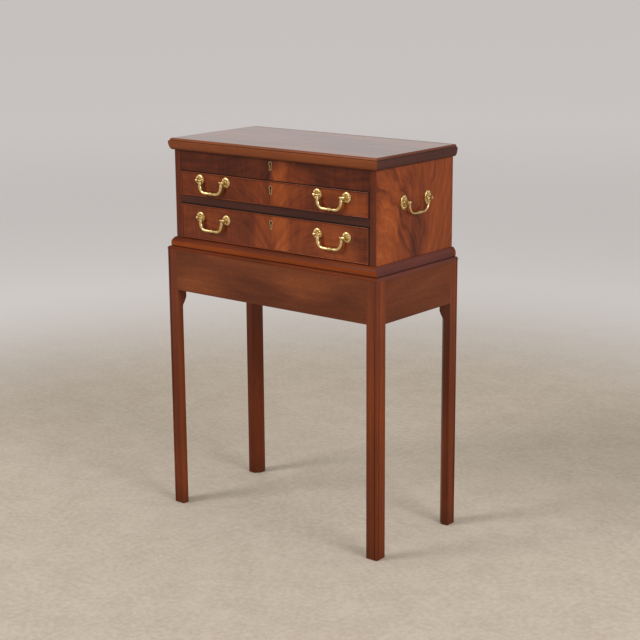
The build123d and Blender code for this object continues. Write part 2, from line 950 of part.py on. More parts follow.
# Flatware dividers: one lengthwise slat and cross slats behind it, halved together
def make_dividers(half_x, y, floor, height, tray_depth):
    inset = lining_thick + 2 * lining_gap
    bottom = floor + inset
    tray_y = y[0] + inset + tray_depth
    with BuildPart() as dividers:
        block(
            (-half_x + inset, half_x - inset),
            (tray_y, tray_y + divider_thick),
            (bottom, bottom + height),
        )
        pitch = 2 * (half_x - inset) / (cross_slats + 1)
        with Locations(*[
            (-half_x + inset + n * pitch, (tray_y + y[1] - inset) / 2, bottom + height / 2)
            for n in range(1, cross_slats + 1)
        ]):
            Box(divider_thick, y[1] - inset - tray_y, height)
        chamfer(dividers.faces().sort_by(Axis.Z)[-1].edges(), divider_ease)
    return dividers.part


save(
    make_dividers(
        half_open, (false_back, back_face), well_floor_top, well_divider_height, well_front_tray
    ),
    "well_dividers",
)


# Dovetails: tails seen square to the drawer side, wider at their tips
def tails(y_root, y_tip, z_low, z_high, count):
    pitch = (z_high - z_low) / count
    for n in range(count):
        middle = z_low + (n + 0.5) * pitch
        root_half = (pitch - tail_gap) / 2
        tip_half = root_half + tail_slope
        Polygon(
            (y_root, middle - root_half),
            (y_tip, middle - tip_half),
            (y_tip, middle + tip_half),
            (y_root, middle + root_half),
            align=None,
        )


def bead_outline(y, front_z):
    """Frame-shaped section of the cock beading round a drawer front."""
    height = front_z[1] - front_z[0]
    with BuildSketch(facing_front(y)) as outline:
        with Locations((0, (front_z[0] + front_z[1]) / 2)):
            Rectangle(2 * drawer_half, height)
            Rectangle(
                2 * (drawer_half - bead_width), height - 2 * bead_width, mode=Mode.SUBTRACT
            )
    return outline.sketch


def make_drawer(opening_bottom, opening_top, key_height, handle_height, tail_count, name):
    """One drawer: dovetailed box, cock-beaded front, lining, lock and handle posts."""
    front_z = (opening_bottom + front_gap, opening_top - front_gap)
    side_z = (opening_bottom + slide_gap, front_z[1] - side_drop)
    panel_bottom_z = side_z[0] + drawer_bottom_raise
    panel_z = (panel_bottom_z, panel_bottom_z + drawer_bottom_thick)
    back_z = (panel_z[1], side_z[1] - back_drop)
    side_x = (-drawer_half, -drawer_half + drawer_side_thick)
    back_inner = drawer_back - drawer_back_thick
    tail_front = case_front + front_lap
    groove_x = drawer_half - drawer_side_thick + groove_depth
    bow_z = key_bow_level(front_z[1], key_height)
    post_z = opening_bottom + handle_height

    # tails of both sides, kept as loose solids to cut their sockets
    side_plane = Plane(origin=(side_x[0], 0, 0), x_dir=(0, 1, 0), z_dir=(1, 0, 0))
    with BuildPart() as front_tails:
        with BuildSketch(side_plane):
            low, high = side_z[0] + tail_margin, side_z[1] - tail_margin
            tails(front_back, tail_front, low, high, tail_count)
        extrude(amount=drawer_side_thick)
    with BuildPart() as back_tails:
        with BuildSketch(side_plane):
            tails(back_inner, drawer_back, back_z[0], back_z[1], tail_count)
        extrude(amount=drawer_side_thick)

    def panel_space(mode):
        block((-groove_x, groove_x), (front_back - groove_depth, drawer_back), panel_z, mode)

    with BuildPart() as side:
        block(side_x, (front_back, back_inner), side_z)
        block(side_x, (back_inner, drawer_back), (side_z[0], back_z[0]))
        add(front_tails.part)
        add(back_tails.part)
        panel_space(Mode.SUBTRACT)
    side_left = side.part
    save(side_left, f"{name}_side_left")
    save(mirrored(side_left, Plane.YZ), f"{name}_side_right")

    with BuildPart() as back:
        block((-drawer_half, drawer_half), (back_inner, drawer_back), back_z)
        add(back_tails.part, mode=Mode.SUBTRACT)
        add(mirrored(back_tails.part, Plane.YZ), mode=Mode.SUBTRACT)
    save(back.part, f"{name}_back")

    with BuildPart() as bottom:
        panel_space(Mode.ADD)
    save(bottom.part, f"{name}_bottom")

    with BuildPart() as front:
        block((-drawer_half, drawer_half), (case_front, front_back), front_z)
        extrude(bead_outline(case_front, front_z), amount=-bead_depth, mode=Mode.SUBTRACT)
        add(front_tails.part, mode=Mode.SUBTRACT)
        add(mirrored(front_tails.part, Plane.YZ), mode=Mode.SUBTRACT)
        block(
            (-groove_x, groove_x), (front_back - groove_depth, front_back), panel_z, Mode.SUBTRACT
        )
        lock_space(front_back, front_z[1], Mode.SUBTRACT)
        cut_keyhole(case_front, bow_z, front_thick)
        for x in post_places():
            post_hole((x, front_back, post_z), (90, 0, 0), front_thick)
    save(front.part, f"{name}_front")

    with BuildPart() as bead:
        outline = bead_outline(case_front - bead_proud, front_z)
        extrude(outline, amount=-(bead_proud + bead_depth))
        fillet(bead.faces().sort_by(Axis.Y)[0].edges(), bead_round)
    save(bead.part, f"{name}_cock_bead")

    lining = make_lining(
        drawer_half - drawer_side_thick,
        (front_back, back_inner),
        (panel_z[1], back_z[1] - lining_below_back),
    )
    save(lining, f"{name}_lining")

    lock, bolt = make_lock(case_front, front_back, front_z[1], bow_z)
    save(lock, f"{name}_lock")
    save(bolt, f"{name}_lock_bolt")

    posts = []
    for x in post_places():
        posts.append(
            make_post(
                Location((x, case_front, post_z), (90, 0, 0)),
                (rosette_diameter, rosette_diameter),
                post_reach,
                front_thick,
            )
        )
    save(Compound(children=posts), f"{name}_handle_posts")
    for side_name, middle in (("left", -handle_centre), ("right", handle_centre)):
        place = Location((middle, case_front - post_reach, post_z))
        save(drawer_bail.moved(place), f"{name}_bail_{side_name}")
    return panel_z[1]


def post_places():
    return [
        side * handle_centre + end * post_spacing / 2 for side in (-1, 1) for end in (-1, 1)
    ]


# Round rosette: a domed rim that dips to a flat boss
def round_rosette(radius):
    with BuildPart() as rosette:
        with BuildSketch(Plane.XZ):
            with BuildLine():
                rim = Polyline(
                    (0, 0),
                    (radius, 0),
                    (radius, rosette_edge),
                )
                dome = ThreePointArc(
                    rim @ 1,
                    (radius * dome_share, rosette_thick * rosette_dome),
                    (radius * dish_share, rosette_thick * rosette_dish),
                )
                Polyline(
                    dome @ 1,
                    (radius * boss_share, rosette_thick),
                    (0, rosette_thick),
                    (0, 0),
                )
            make_face()
        revolve(axis=Axis.Z)
    return rosette.part


# Oval rosette: a low dome of upright oval outline
def oval_rosette(half_width, half_height):
    with BuildPart() as rosette:
        with BuildSketch():
            Ellipse(half_width, half_height)
        extrude(amount=rosette_thick)
        fillet(rosette.edges().group_by(Axis.Z)[-1], rosette_thick * rosette_dish)
    return rosette.part


# Rosette and eye post: its own Z runs out of the wood and its eye's bore runs along its X
def make_post(place, size, reach, board):
    is_round = size[0] == size[1]
    with BuildPart() as post:
        add(round_rosette(size[0] / 2) if is_round else oval_rosette(size[0] / 2, size[1] / 2))
        with Locations((0, 0, reach / 2)):
            Cylinder(post_neck / 2, reach)
        with Locations((0, 0, rosette_thick + rosette_dish / 2)):
            Cone(post_neck / 2 + rosette_dish, post_neck / 2, rosette_dish)
        with Locations(Location((0, 0, reach), (0, 90, 0))):
            Cylinder(eye_diameter / 2, eye_width)
            Cylinder(eye_bore / 2, eye_width * 2, mode=Mode.SUBTRACT)
        with Locations((0, 0, -board / 2)):
            Cylinder(shank_diameter / 2, board)
        with Locations((0, 0, -board + nut_thick / 2)):
            Cylinder(nut_diameter / 2, nut_thick)
    return post.part.solid().moved(place)


# Swan-neck bail: a turned bar, two round bends and two tapered arms on stub pins.
# Its own origin is midway between the pins, X runs along them and the bail hangs down in Z.
def make_bail(spacing, eyes, drop, bend, arm, swell, waist, knop):
    half_arm = spacing / 2
    bar_half = half_arm - bend
    bend_top = bend - drop
    with BuildPart() as bail:
        with BuildSketch(Plane.XZ):
            with BuildLine():
                Polyline(
                    (0, waist / 2 - drop), (0, -drop), (bar_half, -drop), (bar_half, swell / 2 - drop)
                )
                Spline(
                    (bar_half, swell / 2 - drop),
                    (0, waist / 2 - drop),
                    tangents=((-1, 0), (-1, 0)),
                )
            make_face()
        revolve(axis=Axis((0, 0, -drop), (1, 0, 0)))
        if knop:
            bar_top = waist / 2 - drop
            knop_top = knop / 2 - drop
            groove = (knop_groove, bar_top + knop_bead / 3)
            with BuildSketch(Plane.XZ):
                with BuildLine():
                    Polyline((0, -drop), (knop_half, -drop), (knop_half, bar_top))
                    ThreePointArc(
                        (knop_half, bar_top),
                        ((knop_half + knop_groove) / 2, bar_top + knop_bead),
                        groove,
                    )
                    TangentArc((0, knop_top), groove, tangent=(1, 0))
                    Line((0, knop_top), (0, -drop))
                make_face()
            revolve(axis=Axis((0, 0, -drop), (1, 0, 0)))
        with BuildSketch(Plane.YZ.offset(bar_half)):
            with Locations((0, -drop)):
                Circle(swell / 2)
        revolve(axis=Axis((bar_half, 0, bend_top), (0, -1, 0)), revolution_arc=90)
        with BuildSketch(Plane.XZ):
            with BuildLine():
                Polyline(
                    (half_arm + arm / 2, 0),
                    (half_arm, 0),
                    (half_arm, bend_top),
                    (half_arm + swell / 2, bend_top),
                )
                Spline(
                    (half_arm + swell / 2, bend_top),
                    (half_arm + arm / 2, 0),
                    tangents=((0, 1), (0, 1)),
                )
            make_face()
        revolve(axis=Axis((half_arm, 0, 0), (0, 0, 1)))
        mirror(about=Plane.YZ)
        nub = half_arm - nub_reach
        pin_end = eyes / 2 + eye_width / 2 + pin_proud
        for side in (-1, 1):
            with Locations((side * half_arm, 0, 0)):
                Sphere(bail_ball / 2)
            with Locations((side * nub, 0, 0)):
                Sphere(nub_diameter / 2)
            with Locations(Location((side * (nub + pin_end) / 2, 0, 0), (0, 90, 0))):
                Cylinder(bail_pin / 2, pin_end - nub)
    return bail.part.solid()


drawer_bail = make_bail(
    arm_spacing,
    post_spacing,
    bail_drop,
    bail_bend,
    arm_diameter,
    bail_swell,
    bail_waist,
    knop_diameter,
)
carry_bail = make_bail(
    carry_arm_spacing,
    carry_post_spacing,
    carry_drop,
    carry_bend,
    carry_arm_diameter,
    carry_swell,
    carry_grip,
    None,
)

upper_floor = make_drawer(
    rail_top, well_bottom, upper_key_height, upper_handle_height, 2, "upper_drawer"
)
lower_floor = make_drawer(
    bottom_top, rail_bottom, lower_key_height, lower_handle_height, 3, "lower_drawer"
)
save(
    make_dividers(
        drawer_half - drawer_side_thick,
        (front_back, drawer_back - drawer_back_thick),
        upper_floor,
        drawer_divider_height,
        drawer_front_tray,
    ),
    "upper_drawer_dividers",
)

# Carrying handles
carry_posts = []
for side in (-1, 1):
    for end in (-1, 1):
        turn = Location((side * half_case, carry_y + end * carry_post_spacing / 2, carry_height))
        facing = Location((0, 0, 0), (0, 0, side * 90)) * Location((0, 0, 0), (90, 0, 0))
        oval = (carry_rosette_width, carry_rosette_height)
        carry_posts.append(make_post(turn * facing, oval, carry_reach, side_thick))
save(Compound(children=carry_posts), "carry_handle_posts")
for side, side_name in ((-1, "left"), (1, "right")):
    place = Location((side * (half_case + carry_reach), carry_y, carry_height), (0, 0, 90))
    save(carry_bail.moved(place), f"carry_bail_{side_name}")
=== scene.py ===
# %% [markdown]
# # A silverware chest on its stand
# The chest is mahogany veneer on a plain carcase, and it lifts off a stand with four square legs.
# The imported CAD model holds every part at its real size, so it is loaded first and never moved.
# Blender adds what the CAD leaves plain: the figure of the wood, cast brass, and the cloth inside.

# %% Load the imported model
import math

import bmesh
import bpy
from mathutils import Matrix, Vector, noise


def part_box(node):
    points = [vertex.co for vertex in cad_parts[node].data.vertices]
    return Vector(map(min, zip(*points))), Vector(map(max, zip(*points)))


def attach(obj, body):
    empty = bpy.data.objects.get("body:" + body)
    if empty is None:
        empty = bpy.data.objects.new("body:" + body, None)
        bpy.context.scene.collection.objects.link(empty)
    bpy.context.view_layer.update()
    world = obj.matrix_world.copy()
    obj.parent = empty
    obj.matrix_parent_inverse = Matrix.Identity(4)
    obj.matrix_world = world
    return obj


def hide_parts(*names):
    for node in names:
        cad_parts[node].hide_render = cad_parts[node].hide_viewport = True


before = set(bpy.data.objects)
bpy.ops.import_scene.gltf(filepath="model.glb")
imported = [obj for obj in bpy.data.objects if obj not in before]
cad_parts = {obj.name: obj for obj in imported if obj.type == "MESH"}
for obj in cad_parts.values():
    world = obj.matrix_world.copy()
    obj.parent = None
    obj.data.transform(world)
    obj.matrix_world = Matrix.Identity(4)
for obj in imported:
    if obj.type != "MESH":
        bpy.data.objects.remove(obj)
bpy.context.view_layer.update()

mm = 0.001

# %% [markdown]
# ## The camera
# The photograph was taken from the chest's right front, from nearly half a metre above the lid. The
# camera's place was solved from the corners of the stand, the case and the lid, so the render can be
# laid over the photograph. Its directions are built one from another out of a turn, a tilt and a
# slight lean, which is easier to check than the three angles of a rotation.

# %% Camera
eye = Vector((2.28335, -2.77017, 1.36276))
chest_middle = Vector((0, 0, 0.6))
turn, tilt, lean = math.radians(39.139), math.radians(-13.732), math.radians(-0.378)
focal_pixels, image_width, sensor_width = 1544.09, 640, 36.0

ahead = Vector((-math.sin(turn) * math.cos(tilt), math.cos(turn) * math.cos(tilt), math.sin(tilt)))
level = Vector((math.cos(turn), math.sin(turn), 0.0))
upright = level.cross(ahead)
right = math.cos(lean) * level + math.sin(lean) * upright
top = math.cos(lean) * upright - math.sin(lean) * level

camera = bpy.data.objects.new("camera", bpy.data.cameras.new("camera"))
bpy.context.scene.collection.objects.link(camera)
camera.matrix_world = Matrix.Translation(eye) @ Matrix((right, top, -ahead)).transposed().to_4x4()
camera.data.sensor_width = sensor_width
camera.data.lens = focal_pixels / image_width * sensor_width
camera.data.clip_end = 200.0
bpy.context.scene.camera = camera
away, lens = (eye - chest_middle).length, camera.data.lens
print("camera stands", round(away, 2), "m away, lens", round(lens, 1), "mm")

# %% [markdown]
# ## A small language for materials
# A pattern is arithmetic on sockets, such as a streak times a strength plus a tone. Placing each Math
# node by hand hides that, so one class wraps a socket and lets Python's own operators add the nodes.

# %% A socket that can be used in sums
class Wire:
    """One socket of a material. Sums and products of wires add their Math nodes."""

    def __init__(self, finish, socket):
        self.finish, self.socket = finish, socket

    def math(self, operation, *values):
        return self.finish.node("Math", {"operation": operation}, dict(enumerate(values)))

    def __add__(self, other):
        return self.math("ADD", self, other)

    def __sub__(self, other):
        return self.math("SUBTRACT", self, other)

    def __rsub__(self, other):
        return self.math("SUBTRACT", other, self)

    def __mul__(self, other):
        return self.math("MULTIPLY", self, other)

    def __truediv__(self, other):
        return self.math("DIVIDE", self, other)

    def __pow__(self, power):
        return self.math("POWER", self, power)

    def __abs__(self):
        return self.math("ABSOLUTE", self)

    __radd__, __rmul__ = __add__, __mul__

    def smaller(self, other):
        return self.math("MINIMUM", self, other)

    def larger(self, other):
        return self.math("MAXIMUM", self, other)


# %% [markdown]
# ### A material in the making
# A material is a tree of nodes that ends in one shader. Each node is made, set up, joined at its
# inputs and read at its outputs, always in that order, because a setting can change which sockets a
# node has. One `node` method does all of it, so a whole pattern stays a few readable lines.

# %% A new material
class Finish:
    """A new material. The plain values are the ones that are the same all over the surface."""

    def __init__(self, name, plain):
        self.material = bpy.data.materials.new(name)
        self.material.use_nodes = True
        self.tree = self.material.node_tree
        self.shader = self.tree.nodes["Principled BSDF"]
        for socket, value in plain.items():
            self.shader.inputs[socket].default_value = value

    def join(self, socket, value):
        if isinstance(value, Wire):
            self.tree.links.new(value.socket, socket)
        else:
            socket.default_value = value

    def node(self, kind, settings=None, sockets=None, output=0):
        """Adds a node. Returns the wire of one output, or a list where several are asked for."""
        node = self.tree.nodes.new("ShaderNode" + kind)
        for setting, value in (settings or {}).items():
            if setting == "stops":
                stops = node.color_ramp.elements
                stops.remove(stops[1])
                stops[0].position, stops[0].color = value[0]
                for place, tint in value[1:]:
                    stops.new(place).color = tint
            else:
                setattr(node, setting, value)
        for socket, value in (sockets or {}).items():
            self.join(node.inputs[socket], value)
        if isinstance(output, tuple):
            return [Wire(self, node.outputs[each]) for each in output]
        return Wire(self, node.outputs[output])

    def show(self, sockets):
        """Joins the wires to the shader and hands over the finished material."""
        for socket, value in sockets.items():
            self.join(self.shader.inputs[socket], value)
        print(self.material.name, "has", len(self.tree.nodes), "nodes")
        return self.material


# %% [markdown]
# ### Words that every material uses
# The patterns are solid, worked out from the place of a point in the model, so grain runs through a
# board from face to end as it does in timber. Object coordinates give that place in metres. Each word
# below is a node or two with the settings that this chest needs, so a finish reads like a recipe.

# %% Where a point is, and which way it looks
def place_of(finish):
    return finish.node("TexCoord", output="Object")


def axes_of(finish):
    return finish.node("SeparateXYZ", sockets={0: place_of(finish)}, output=(0, 1, 2))


def facing_of(finish):
    """The way the surface looks along x, y and z, each from -1 to 1."""
    true_normal = finish.node("NewGeometry", output="True Normal")
    return finish.node("SeparateXYZ", sockets={0: true_normal}, output=(0, 1, 2))


def vector(finish, x, y, z):
    return finish.node("CombineXYZ", sockets={0: x, 1: y, 2: z})


# %% Noise, step, mix, ramp and bump
def mottle(finish, place, factors, detail=2.0, rough=0.5, twist=0.0):
    """Noise from 0 to 1, most of it near a half. The factors say how many blots fit in a metre."""
    squeezed = finish.node("VectorMath", {"operation": "MULTIPLY"}, {0: place, 1: factors})
    sockets = {"Vector": squeezed, "Scale": 1.0, "Detail": detail}
    sockets.update({"Roughness": rough, "Distortion": twist})
    return finish.node("TexNoise", {"noise_dimensions": "3D"}, sockets)


def step(finish, value, start, end):
    """0 before start and 1 past end, with a soft shoulder between."""
    sockets = {"Value": value, "From Min": start, "From Max": end}
    return finish.node("MapRange", {"interpolation_type": "SMOOTHSTEP"}, sockets)


def mix(finish, share, first, second):
    """Two colours mixed. A Math node would turn them grey."""
    return finish.node("Mix", {"data_type": "RGBA"}, {0: share, 6: first, 7: second}, output=2)


def ramp(finish, value, stops):
    return finish.node("ValToRGB", {"stops": stops}, {0: value})


def bump(finish, height, depth, strength):
    sockets = {"Height": height, "Distance": depth, "Strength": strength}
    return finish.node("Bump", sockets=sockets)


def colour(red, green, blue):
    """A colour as a paint chart gives it, 0 to 255, turned into the linear light of shaders."""
    def linear(value):
        value = value / 255
        return value / 12.92 if value <= 0.04045 else ((value + 0.055) / 1.055) ** 2.4
    return (linear(red), linear(green), linear(blue), 1.0)


# %% [markdown]
# ## Mahogany
# Real mahogany shows four things at four sizes: slow clouds of tone over a whole board, streaks a
# centimetre wide, fibres under a millimetre, and short dark pores. Each is noise squeezed across the
# grain and stretched along it. One scale from nearly black to gold colours most boards, so a board's
# character is a single number, its tone, and the figure only pushes that number up and down.

# %% The scale of tones, and the body of every board
mahogany_scale = [
    (0.15, colour(33, 15, 10)), (0.35, colour(74, 32, 17)), (0.50, colour(104, 47, 22)),
    (0.65, colour(135, 65, 28)), (0.85, colour(174, 95, 42)),
]


def grain_place(finish, grain):
    """The place with its first number along the grain, so one pattern suits every board."""
    x, y, z = axes_of(finish)
    return vector(finish, *{"x": (x, y, z), "y": (y, x, z), "z": (z, x, y)}[grain])


def timber(finish, place):
    """Streaks, fibres, pores and clouds of a board, its grain along the place's first number."""
    drift = mottle(finish, place, (2.5, 12.0, 12.0)) - 0.5
    sway = vector(finish, 0.0, drift * (20 * mm), drift * (14 * mm))
    place = finish.node("VectorMath", {"operation": "ADD"}, {0: place, 1: sway})
    streaks = mottle(finish, place, (1.7, 62.0, 62.0), 6.0, 0.62) - 0.5
    fibres = mottle(finish, place, (20.0, 820.0, 820.0))
    pores = step(finish, mottle(finish, place, (60.0, 1500.0, 1500.0), 1.0), 0.62, 0.72)
    clouds = mottle(finish, place, (4.0, 8.0, 8.0), 3.0) - 0.5
    return streaks, fibres, pores, clouds


def hollows(finish, reach=4 * mm):
    """1 deep in a hollow of the piece itself and 0 on its open faces, as the piece shades it: on wood
    painted shade, partly old wax, and on brass tarnish.
    """
    settings = {"samples": 6, "only_local": True}
    openness = finish.node("AmbientOcclusion", settings, {"Distance": reach}, output="AO")
    return step(finish, openness, 0.80, 0.35)


# %% [markdown]
# ### The polish
# French polish is a thin clear film, so the wood itself has no shine of its own and all the gloss is a
# coat over it. The film sinks a little into the pores. Quirks and corners get painted shade, partly
# old wax, and on some runs a grey painted sheen lies over the colour.

# %% From a tone to polished wood
french_polish = {
    "Specular IOR Level": 0.0, "Coat Weight": 0.45, "Coat Roughness": 0.19, "Coat IOR": 1.40,
}
satin_polish = dict(french_polish, **{"Coat Weight": 0.30, "Coat Roughness": 0.30})
# The first colour is painted shade, partly old wax; the second is a grey painted sheen.
painted_shade_and_wax, painted_sheen_grey = colour(26, 14, 10), colour(84, 76, 84)
film_sink = 0.05 * mm


def polish(
    finish, tone, fibres, pores, scale=mahogany_scale, roughness=0.40, shade=None, painted_sheen=None
):
    """Shade is the share of painted shade and old wax over the wood; the last share lays a grey
    painted sheen over it.
    """
    darkest = scale[0][1]
    wood = ramp(finish, tone + (fibres - 0.5) * 0.10, scale)
    wood = mix(finish, pores * 0.40, wood, darkest)
    if painted_sheen is not None:
        wood = mix(finish, painted_sheen, wood, painted_sheen_grey)
    if shade is not None:
        wood = mix(finish, shade, wood, painted_shade_and_wax)
    return finish.show({
        "Base Color": wood,
        "Roughness": fibres * 0.12 + pores * 0.15 + roughness,
        "Normal": bump(finish, fibres * 0.3 - pores, film_sink, 0.5),
    })


def plain_board(
    name, grain, base, scale=mahogany_scale, roughness=0.40, plain=french_polish, hollow_shade=0.7
):
    """A board with no special figure. Base is its tone, and the last number how dark the painted shade
    in its hollows is.
    """
    finish = Finish(name, plain)
    streaks, fibres, pores, clouds = timber(finish, grain_place(finish, grain))
    tone = streaks * 0.34 + clouds * 0.20 + base
    # Its hollows get painted shade, partly old wax.
    return polish(finish, tone, fibres, pores, scale, roughness, hollows(finish) * hollow_shade)


# %% [markdown]
# ### Legs
# A leg is straight-grained. Its faces to the front are painted darker than its faces to the end, as
# painted shade, so the material asks which way a face looks. The two legs at the back get painted
# shade too, and the feet are darker towards the floor.

# %% Legs
leg_finish = Finish("leg_mahogany", french_polish)
_, leg_y, leg_z = axes_of(leg_finish)
_, leg_looks_y, _ = facing_of(leg_finish)
streaks, fibres, pores, clouds = timber(leg_finish, grain_place(leg_finish, "z"))
# Faces to the front and the legs at the back get painted shade; the feet are darker towards the floor.
front_face_shade = step(leg_finish, abs(leg_looks_y), 0.6, 0.8)
back_leg_shade = step(leg_finish, leg_y, -20 * mm, 20 * mm)
leg_tone = streaks * 0.34 + clouds * 0.22 - front_face_shade * 0.06 - back_leg_shade * 0.04 + 0.52
foot_darkening = step(leg_finish, leg_z, 60 * mm, 0.0) * 0.25
leg_shade = (hollows(leg_finish) * 0.8).larger(foot_darkening)
leg_wood = polish(leg_finish, leg_tone, fibres, pores, shade=leg_shade)

# %% [markdown]
# ### The dark rail
# The rail between the drawers was stained nearly black, which makes the two fronts read as separate.
# It gets a scale of its own, and a painted shadow makes a darker line along its lower edge, over the
# gap.

# %% Rail
rail_scale = [(0.20, colour(34, 18, 14)), (0.45, colour(62, 33, 24)), (0.70, colour(88, 46, 31))]
rail_foot, rail_shadow_width = 762.4 * mm, 1.6 * mm

rail_finish = Finish("dark_rail_mahogany", french_polish)
_, _, rail_z = axes_of(rail_finish)
streaks, fibres, pores, clouds = timber(rail_finish, grain_place(rail_finish, "x"))
rail_tone = streaks * 0.5 + clouds * 0.4 + 0.43
# A painted shadow along the rail's lower edge, where the gap above the lower drawer lies in shade.
rail_painted_shadow = step(rail_finish, rail_z, rail_foot + rail_shadow_width, rail_foot) * 0.95
rail_wood = polish(rail_finish, rail_tone, fibres, pores, rail_scale, shade=rail_painted_shadow)

# %% [markdown]
# ### Cock beads
# The beads round the drawers stand proud, and their outer sides, which face the gaps, get painted
# shade. Both drawers share one material: a point is on an outer side when it lies past the edges of
# both drawers in height, or past their ends.

# %% Cock beads
bead_finish = Finish("bead_mahogany", french_polish)
bead_x, _, bead_z = axes_of(bead_finish)


def past_edge(value, edge):
    """1 where the value is at the edge or past it, whichever side of 0 it is on."""
    return step(bead_finish, abs(value), edge - 0.6 * mm, edge)


past_lower = past_edge(bead_z - 718.90 * mm, 41.0 * mm)
past_upper = past_edge(bead_z - 809.25 * mm, 28.7 * mm)
# The outer sides of the beads get painted shade.
shaded_outer_sides = (past_lower * past_upper).larger(past_edge(bead_x, 281.4 * mm))
streaks, fibres, pores, clouds = timber(bead_finish, grain_place(bead_finish, "x"))
bead_tone = streaks * 0.3 + clouds * 0.2 + 0.52
bead_wood = polish(bead_finish, bead_tone, fibres, pores, shade=shaded_outer_sides * 0.9)

# %% [markdown]
# ### Aprons
# The front apron is one wide board with a slow, smoky figure: a dark drift runs from its upper left
# to its lower right, with clearer red-brown on both sides of it. A few soft ovals place that drift,
# and noise breaks their outlines. The end aprons are quieter and browner. The aprons' scale has less
# red in it than the chest's, and the lid's moulding uses it too.

# %% Soft ovals
def blot(finish, across, up, centre, reach):
    """A soft oval, 1 in its middle and 0 well outside its reach."""
    far = ((across - centre[0]) / reach[0]) ** 2.0 + ((up - centre[1]) / reach[1]) ** 2.0
    return step(finish, far, 1.6, 0.0)


def with_blots(finish, tone, across, up, middle_z, blots):
    """Adds ovals given as across, up from the middle, half width, half height and change, in mm."""
    for where, height, wide, high, change in blots:
        centre = (where * mm, (middle_z + height) * mm)
        tone = tone + blot(finish, across, up, centre, (wide * mm, high * mm)) * change
    return tone


# %% Aprons
apron_scale = [
    (0.15, colour(36, 19, 13)), (0.35, colour(73, 36, 22)), (0.50, colour(101, 52, 29)),
    (0.65, colour(130, 70, 36)), (0.85, colour(166, 98, 50)),
]
apron_middle_z, apron_foot = 597.5, 550.5 * mm


def apron(name, grain, base, blots):
    finish = Finish(name, satin_polish)
    x, _, z = axes_of(finish)
    place = grain_place(finish, grain)
    streaks, fibres, pores, clouds = timber(finish, place)
    smoke = mottle(finish, place, (3.2, 16.0, 16.0), 4.0, 0.6, 1.2) - 0.5
    stipple = mottle(finish, place, (240.0, 420.0, 420.0)) - 0.5
    tone = smoke * 0.26 + streaks * 0.20 + clouds * 0.08 + stipple * 0.18 + base
    waver_x, waver_z = x + smoke * 0.10, z + smoke * 0.05
    tone = with_blots(finish, tone, waver_x, waver_z, apron_middle_z, blots)
    # A thin painted shade line along the apron's lower edge.
    lower_edge_shade = step(finish, abs(z - apron_foot), 0.8 * mm, 0.3 * mm) * 0.30
    return polish(finish, tone, fibres, pores, apron_scale, roughness=0.46, shade=lower_edge_shade)


apron_long = apron("apron_mahogany_long", "x", 0.475, [
    (-270, 38, 110, 26, -0.06), (-215, -20, 90, 40, 0.09), (-60, -22, 130, 30, -0.05),
    (-70, 30, 90, 26, 0.03), (110, 16, 100, 30, 0.05), (215, -30, 110, 30, -0.04),
    (40, -40, 160, 16, -0.03),
])
apron_end = apron("apron_mahogany_end", "y", 0.465, [])

# %% [markdown]
# ### Mitred mouldings
# A moulding is run as one length, so its grain follows the run and turns at each mitre. One frame is
# one CAD node here, so the material works out which run a point is on: the nearer of the two outer
# faces decides. Where both are equally near lies the mitre, which shows as a hair line. The runs on
# the ends came from a darker length and carry a grey painted sheen. Bands along the profile carry
# painted light: painted shade in the lid's quirk, along the foot of both mouldings and over the front
# of the waist's cap, and a painted highlight on the top bead of the lid's end runs. The waist moulding
# has lost most of its gloss.

# %% Mouldings with mitres
def mitred(name, scale, plain, half_wide, middle_y, half_deep, end_change, end_painted_sheen, painted_light_bands):
    """A frame of four runs, sizes in mm. Bands of painted light are (low, high, change in front, on
    the ends).
    """
    finish = Finish(name, plain)
    x, y, z = axes_of(finish)
    from_end = half_wide * mm - abs(x)
    from_front = half_deep * mm - abs(y - middle_y * mm)
    ends = step(finish, from_front - from_end, -0.2 * mm, 0.2 * mm)
    run, wide = x + (y - x) * ends, y + (x - y) * ends
    streaks, fibres, pores, clouds = timber(finish, vector(finish, run, wide, z))
    tone = streaks * 0.30 + clouds * 0.22 + ends * end_change + 0.56
    for low, high, in_front, on_ends in painted_light_bands:
        within = step(finish, z, (low - 0.4) * mm, (low + 0.4) * mm)
        within = within * step(finish, z, (high + 0.4) * mm, (high - 0.4) * mm)
        tone = tone + within * (ends * (on_ends - in_front) + in_front)
    mitre = step(finish, abs(from_end - from_front), 0.5 * mm, 0.0) * 0.5
    # Painted shade in the hollows, partly old wax, and the dark hair line of the mitre.
    shade = (hollows(finish) * 0.8).larger(mitre)
    # The end runs get a grey painted sheen.
    return polish(finish, tone, fibres, pores, scale, shade=shade, painted_sheen=ends * end_painted_sheen)


# Painted shade along the lid's foot and in its fillet quirk, and a painted highlight on the top bead
# of the end runs.
lid_moulding = mitred(
    "lid_moulding_mahogany", apron_scale, satin_polish,
    half_wide=311.5, middle_y=1.75, half_deep=152.5, end_change=-0.24, end_painted_sheen=0.13,
    painted_light_bands=[(885.0, 892.0, -0.06, -0.02), (908.4, 909.6, -0.16, -0.06), (909.6, 915.0, 0.02, 0.18)],
)
worn_polish = dict(satin_polish, **{"Coat Weight": 0.10})
# Painted shade along the waist's foot and over the front of its cap.
waist_wood = mitred(
    "waist_mahogany", mahogany_scale, worn_polish,
    half_wide=317.5, middle_y=-1.25, half_deep=155.5, end_change=-0.12, end_painted_sheen=0.23,
    painted_light_bands=[(645.0, 654.4, -0.14, 0.04), (667.0, 677.0, -0.14, 0.0)],
)

# %% [markdown]
# ### Crotch veneer on the fronts
# Veneer cut where a trunk forks shows plumes. Two leaves from one flitch are opened like a book about
# the keyhole line, so the figure mirrors there and one half gets a painted sheen, since its fibres
# lean the other way. Each grain line leaves the middle steeply and levels out, which an exponential
# gives.

# %% Book-matched fronts
def levelled(finish, out, bend):
    """Leaves 0 steeply and levels out at 1, most of the way within the bend."""
    return 1.0 - finish.node("Math", {"operation": "EXPONENT"}, {0: out / -bend})


